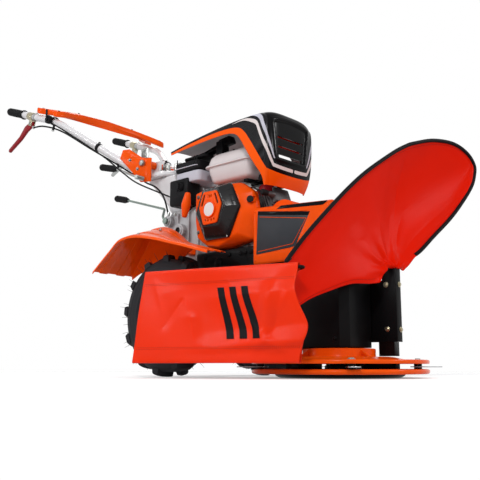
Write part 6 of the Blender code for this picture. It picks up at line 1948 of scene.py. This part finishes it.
        def bar(t: float) -> Vector:
            """Return a point of the arm inside the top hem."""
            return self.side_point(t, self.top - self.bar_drop, self.bar_inward) + Vector((0, 0, 0.0006))
        along, out = self.side_axes()
        start = self.side_point(0.0, self.top - self.bar_drop, self.bar_inward)
        turn_out = start - along * 0.009
        turn_in = turn_out - out * 0.016
        inner = bent_path(
            [(-0.0835, -0.5, 0.305), (-0.2, -0.535, 0.305), (-0.3, -0.57, 0.305), turn_in, turn_out, bar(0.05)],
            0.008, 8)
        arm = bmesh.new()
        add_bar(arm, inner + [bar(0.05 + 0.92 * i / 24) for i in range(1, 25)], 0.005, 5)
        add_block(arm, (-0.0835, -0.53, 0.27), (-0.0793, -0.47, 0.322), 0.0012, 2)
        settle(arm, "guard_arm", BLACK_PAINT, ["side_arm"])
        bolts = [((-0.0836, -0.52, 0.282), (-1, 0, 0)), ((-0.0836, -0.48, 0.282), (-1, 0, 0))]
        fasteners("guard_arm_bolts", BLACK_PAINT, bolts, 0.0055)

    def hoop(self) -> None:
        """Build the hoop's bellied cloth, its bound edge and its seam."""
        # The hoop's cloth takes the canvas's darker copy, which has the shade painted into its colour.
        cloth = settle(
            add_surface(bmesh.new(), 210, 84, self.hoop_cloth, lambda u, v: (u * 0.98, v * 0.36)),
            "hoop_guard_cloth", SHADED_HOOP_CANVAS, ["hoop_canvas"], smooth=70, weld=0.0)
        thicken(cloth, self.cloth)
        route = self.hoop_route(self.heel[1:], self.foot[:1])
        bound = settle(add_bar(bmesh.new(), route[8:-6], 0.0064, 5), "hoop_binding", CANVAS_BLACK)
        seam = bmesh.new()
        for way in (-1, 1):
            off = self.hoop_normal() * way * self.cloth * 0.6
            add_stitches(seam, [self.hoop_cloth(0.02 + 0.95 * i / 150, 0.035) + off for i in range(151)])
            add_stitches(seam, [self.hoop_cloth(0.01 + 0.4 * i / 60, 0.965) + off for i in range(61)])
        seams = settle(seam, "hoop_guard_seam", CANVAS_BLACK, weld=0.0)

    def side_axes(self) -> tuple[Vector, Vector]:
        """Return the side guard's direction to the rear and its direction outwards."""
        along = (Vector(self.rear) - Vector(self.front)).normalized()
        return along, Vector((-along.y, along.x, 0))

    def side_point(self, t: float, z: float, inward: float = 0.0) -> Vector:
        """Return a point of the side guard: t from front to rear, inward towards the machine."""
        along, out = self.side_axes()
        u = (self.top - z) / (self.top - self.bottom)
        flare = 0.045 * max(0.0, u) ** 1.6 * (0.15 + 0.85 * t)
        fold = 0.01 * math.sin(7.0 * t + 2.2 * u) * math.sin(math.pi * u)
        crease = 0.013 * math.exp(-((t - 0.2 - 0.14 * (u - 0.6)) / 0.045) ** 2) * math.sin(math.pi * u) ** 2
        wave = 0.031 * math.exp(-((u - 0.66) / 0.2) ** 2) - 0.008 * math.exp(-((u - 0.22) / 0.12) ** 2)
        slide = 0.01 * u * t - wave * (1 - t) ** 5
        fine = self.crease(self.side_creases, t, u) * math.sin(math.pi * min(1.0, max(0.0, u)))
        fine += self.crease(self.side_folds, t, u, 2.0) * ease(0.1, 0.22, u) * ease(0.985, 0.88, u)
        for start, crest, end, drift, reach, height in self.shelves:
            at = u - drift * t
            rise = min(1.0, max(0.0, (at - start) / (crest - start)))
            fine += height * rise * ease(end, crest, at) * ease(reach, 0.2, t)
        base = Vector(self.front).lerp(Vector(self.rear), t) + along * slide
        return base + out * (flare + fold + crease + fine - inward) + Vector((0, 0, z))

    def side_profile(self) -> list[tuple[float, float]]:
        """Return the side guard's section as heights and inward steps, with both hems."""
        rows = [(self.top - drop, inward) for drop, inward in self.hem]
        rows += [(self.top + (self.bottom - self.top) * j / 8, 0) for j in range(1, 8)]
        return rows + [(self.bottom + drop, inward) for drop, inward in reversed(self.hem)]

    def side(self) -> None:
        """Build the side guard with its tubular hems, double seams and printed bars."""
        rows = self.side_profile()
        bm = bmesh.new()

        def spot(u: float, v: float) -> Vector:
            """Return a point of the cloth."""
            z, inward = blend_rows(rows, v)
            return self.side_point(u, z, inward)
        add_surface(bm, 130, 112, spot, lambda u, v: (u * 0.53, v * 0.38))
        cloth = settle(bm, "side_guard_cloth", CANVAS, ["side_canvas"], smooth=70, weld=0.0)
        thicken(cloth, self.cloth)
        _, out = self.side_axes()
        seam = bmesh.new()
        for step in (self.cloth * 0.65, -self.cloth * 0.65):
            for z in (self.top - 0.04, self.top - 0.0445, self.bottom + 0.04, self.bottom + 0.0445):
                add_stitches(seam, [self.side_point(0.01 + 0.98 * i / 120, z) + out * step for i in range(121)])
        seams = settle(seam, "side_guard_seams", CANVAS_BLACK, weld=0.0)
        prints = bmesh.new()
        for t0 in (0.5, 0.42, 0.34):
            add_surface(
                prints, 8, 60, lambda u, v, a=t0: self.side_point(a - 0.045 * u - 0.075 * v, 0.262 - 0.15 * v,
                -self.cloth * 1.1))
        bars = settle(prints, "side_guard_print", CANVAS_BLACK, weld=0.0)
        thicken(bars, 0.0003)


def add_stitches(bm: BMesh, path: Sequence[Vector]) -> None:
    """Add a row of sewn stitches along a path."""
    length, pitch, radius = 0.004, 0.0058, 0.00045
    travelled, due = 0, pitch / 2
    for start, end in zip(path, path[1:]):
        span = (end - start).length
        while due <= travelled + span and span > 0:
            spot = start.lerp(end, (due - travelled) / span)
            seat = aim(spot, end - start) @ Matrix.Diagonal((radius, radius, length / 2, 1))
            bmesh.ops.create_uvsphere(bm, u_segments=6, v_segments=4, radius=1.0, matrix=seat)
            due += pitch
        travelled += span


def mix_shaders(tree: NodeTree, share: object, first: Node, second: Node) -> NodeSocket:
    """Mix two shaders by a share and return the result."""
    mix = add_node(tree, "MixShader")
    for socket, value in zip(mix.inputs, (share, first.outputs[0], second.outputs[0])):
        feed(tree, socket, value)
    return mix.outputs[0]


@dataclass
class Studio:
    """The floor, the lamps, the world and the camera."""

    camera_at: tuple = (-1.865026, -1.997855, 0.036411)
    camera_turn: tuple = (100.0, 0, -47.0)
    lens: float = 53.55
    floor_half: float = 9.0
    floor_fade: tuple = (1.3, 2.6)
    floor_glow: float = 0.3
    world_level: float = 0.46

    def build(self) -> None:
        """Build the studio."""
        scene = bpy.context.scene
        scene.view_settings.view_transform = "Standard"
        self.camera(scene)
        self.world(scene)
        self.floor()
        self.lamp("key", (-2.6, -2.2, 2.8), 0.6, 64.0)
        self.lamp("fill", (-3.4, 0.28, 2.3), 0.26, 34.0, 0.7)
        self.lamp("front", (1.6, -3.0, 1.8), 0.5, 26.0)
        self.lamp("back", (1.6, 2.4, 4.2), 1.8, 46.0)
        self.lamp("side", (-3.4, -0.4, 1.1), 0.3, 6.0)
        self.lamp("rear", (-2.6, 2.4, 1.6), 0.25, 4.0)

    def camera(self, scene: Scene) -> None:
        """Place the camera at the photograph's angle."""
        data = bpy.data.cameras.new("photo_camera")
        data.lens = self.lens
        data.sensor_width = 36.0
        data.clip_start = 0.05
        view = bpy.data.objects.new("photo_camera", data)
        view.location = self.camera_at
        view.rotation_euler = [math.radians(angle) for angle in self.camera_turn]
        scene.collection.objects.link(view)
        scene.camera = view

    @staticmethod
    def seen(tree: NodeTree) -> NodeSocket:
        """Return a socket that is 1 for camera, glossy and transmission rays."""
        path = tree.nodes.new("ShaderNodeLightPath")
        total = maths(tree, "ADD", path.outputs["Is Camera Ray"], path.outputs["Is Glossy Ray"])
        return maths(tree, "MINIMUM", maths(tree, "ADD", total, path.outputs["Is Transmission Ray"]), 1.0)

    def world(self, scene: Scene) -> None:
        """Give the world a white look and a plain soft light."""
        world = bpy.data.worlds.new("studio")
        scene.world = world
        world.use_nodes = True
        tree = world.node_tree
        plain = tree.nodes["Background"]
        plain.inputs["Color"].default_value = (0.97, 0.98, 1.0, 1)
        plain.inputs["Strength"].default_value = self.world_level
        white = add_node(tree, "Background", Color=(1, 1, 1, 1), Strength=1.0)
        blended = mix_shaders(tree, self.seen(tree), plain, white)
        feed(tree, tree.nodes["World Output"].inputs[0], blended)

    def floor(self) -> None:
        """Lay the pale floor, which keeps the machine's shadow."""
        bm = bmesh.new()
        bmesh.ops.create_grid(bm, x_segments=2, y_segments=2, size=self.floor_half)
        mesh = bpy.data.meshes.new("floor")
        bm.to_mesh(mesh)
        bm.free()
        mat, tree, shader = start_material("pale_floor")
        shader.inputs["Base Color"].default_value = (0.8, 0.8, 0.8, 1)
        shader.inputs["Roughness"].default_value = 0.85
        glow = add_node(
            tree, "Emission", Color=(1, 1, 1, 1), Strength=maths(tree, "MULTIPLY", self.seen(tree), self.floor_glow))
        both = add_node(tree, "AddShader")
        for socket, part in zip(both.inputs, (shader, glow)):
            feed(tree, socket, part.outputs[0])
        place = add_node(tree, "TexCoord").outputs["Object"]
        reach = add_node(tree, "VectorMath", {"operation": "LENGTH"}, Vector=place).outputs["Value"]
        near, far = self.floor_fade
        fade = add_node(tree, "MapRange", From_Min=near, From_Max=far, Value=reach).outputs["Result"]
        shown = mix_shaders(tree, fade, both, add_node(tree, "BsdfTransparent"))
        feed(tree, tree.nodes["Material Output"].inputs[0], shown)
        mesh.materials.append(mat)
        ground = bpy.data.objects.new("floor", mesh)
        ground.location.z = -0.0005
        bpy.context.scene.collection.objects.link(ground)
        ground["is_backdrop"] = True

    @staticmethod
    def lamp(name: str, at: Point, size: float, power: float, width: Optional[float] = None) -> None:
        """Hang one soft lamp, square or wide, that looks at the middle of the machine."""
        data = bpy.data.lights.new(name, "AREA")
        data.shape = "RECTANGLE"
        data.size = width or size
        data.size_y = size
        data.energy = power
        lamp = bpy.data.objects.new(name, data)
        lamp.location = at
        lamp.rotation_euler = (Vector((0, 0, 0.5)) - Vector(at)).to_track_quat("-Z", "Y").to_euler()
        bpy.context.scene.collection.objects.link(lamp)


def dress_nodes() -> None:
    """Give each CAD node the finish of its material slot."""
    slots = {row["node"]: row["material_slot"] for row in frame["record"]["subparts"]}
    for name, node in frame["nodes"].items():
        finish = NODE_FINISH[slots[name]]
        for row in node.material_slots:
            row.material = finish.material()


def main() -> None:
    """Build the studio and every sub-assembly in order."""
    logging.basicConfig(level=logging.INFO, format="%(message)s")
    Studio().build()
    dress_nodes()
    for assembly in (
            Wheels(), Gearbox(), Engine(), FuelTank(), Hood(), Nose(), Fenders(), Steering(), Mower(), Guards()):
        assembly.build()
        LOG.info("%s is built", type(assembly).__name__)
    {"cad": plain(CAD_BOX), "visual": plain(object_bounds())}


def plain(box: Iterable) -> list:
    """Return a box as plain lists of numbers."""
    return [[float(x) for x in corner] for corner in box]


if __name__ == "__main__":
    main()
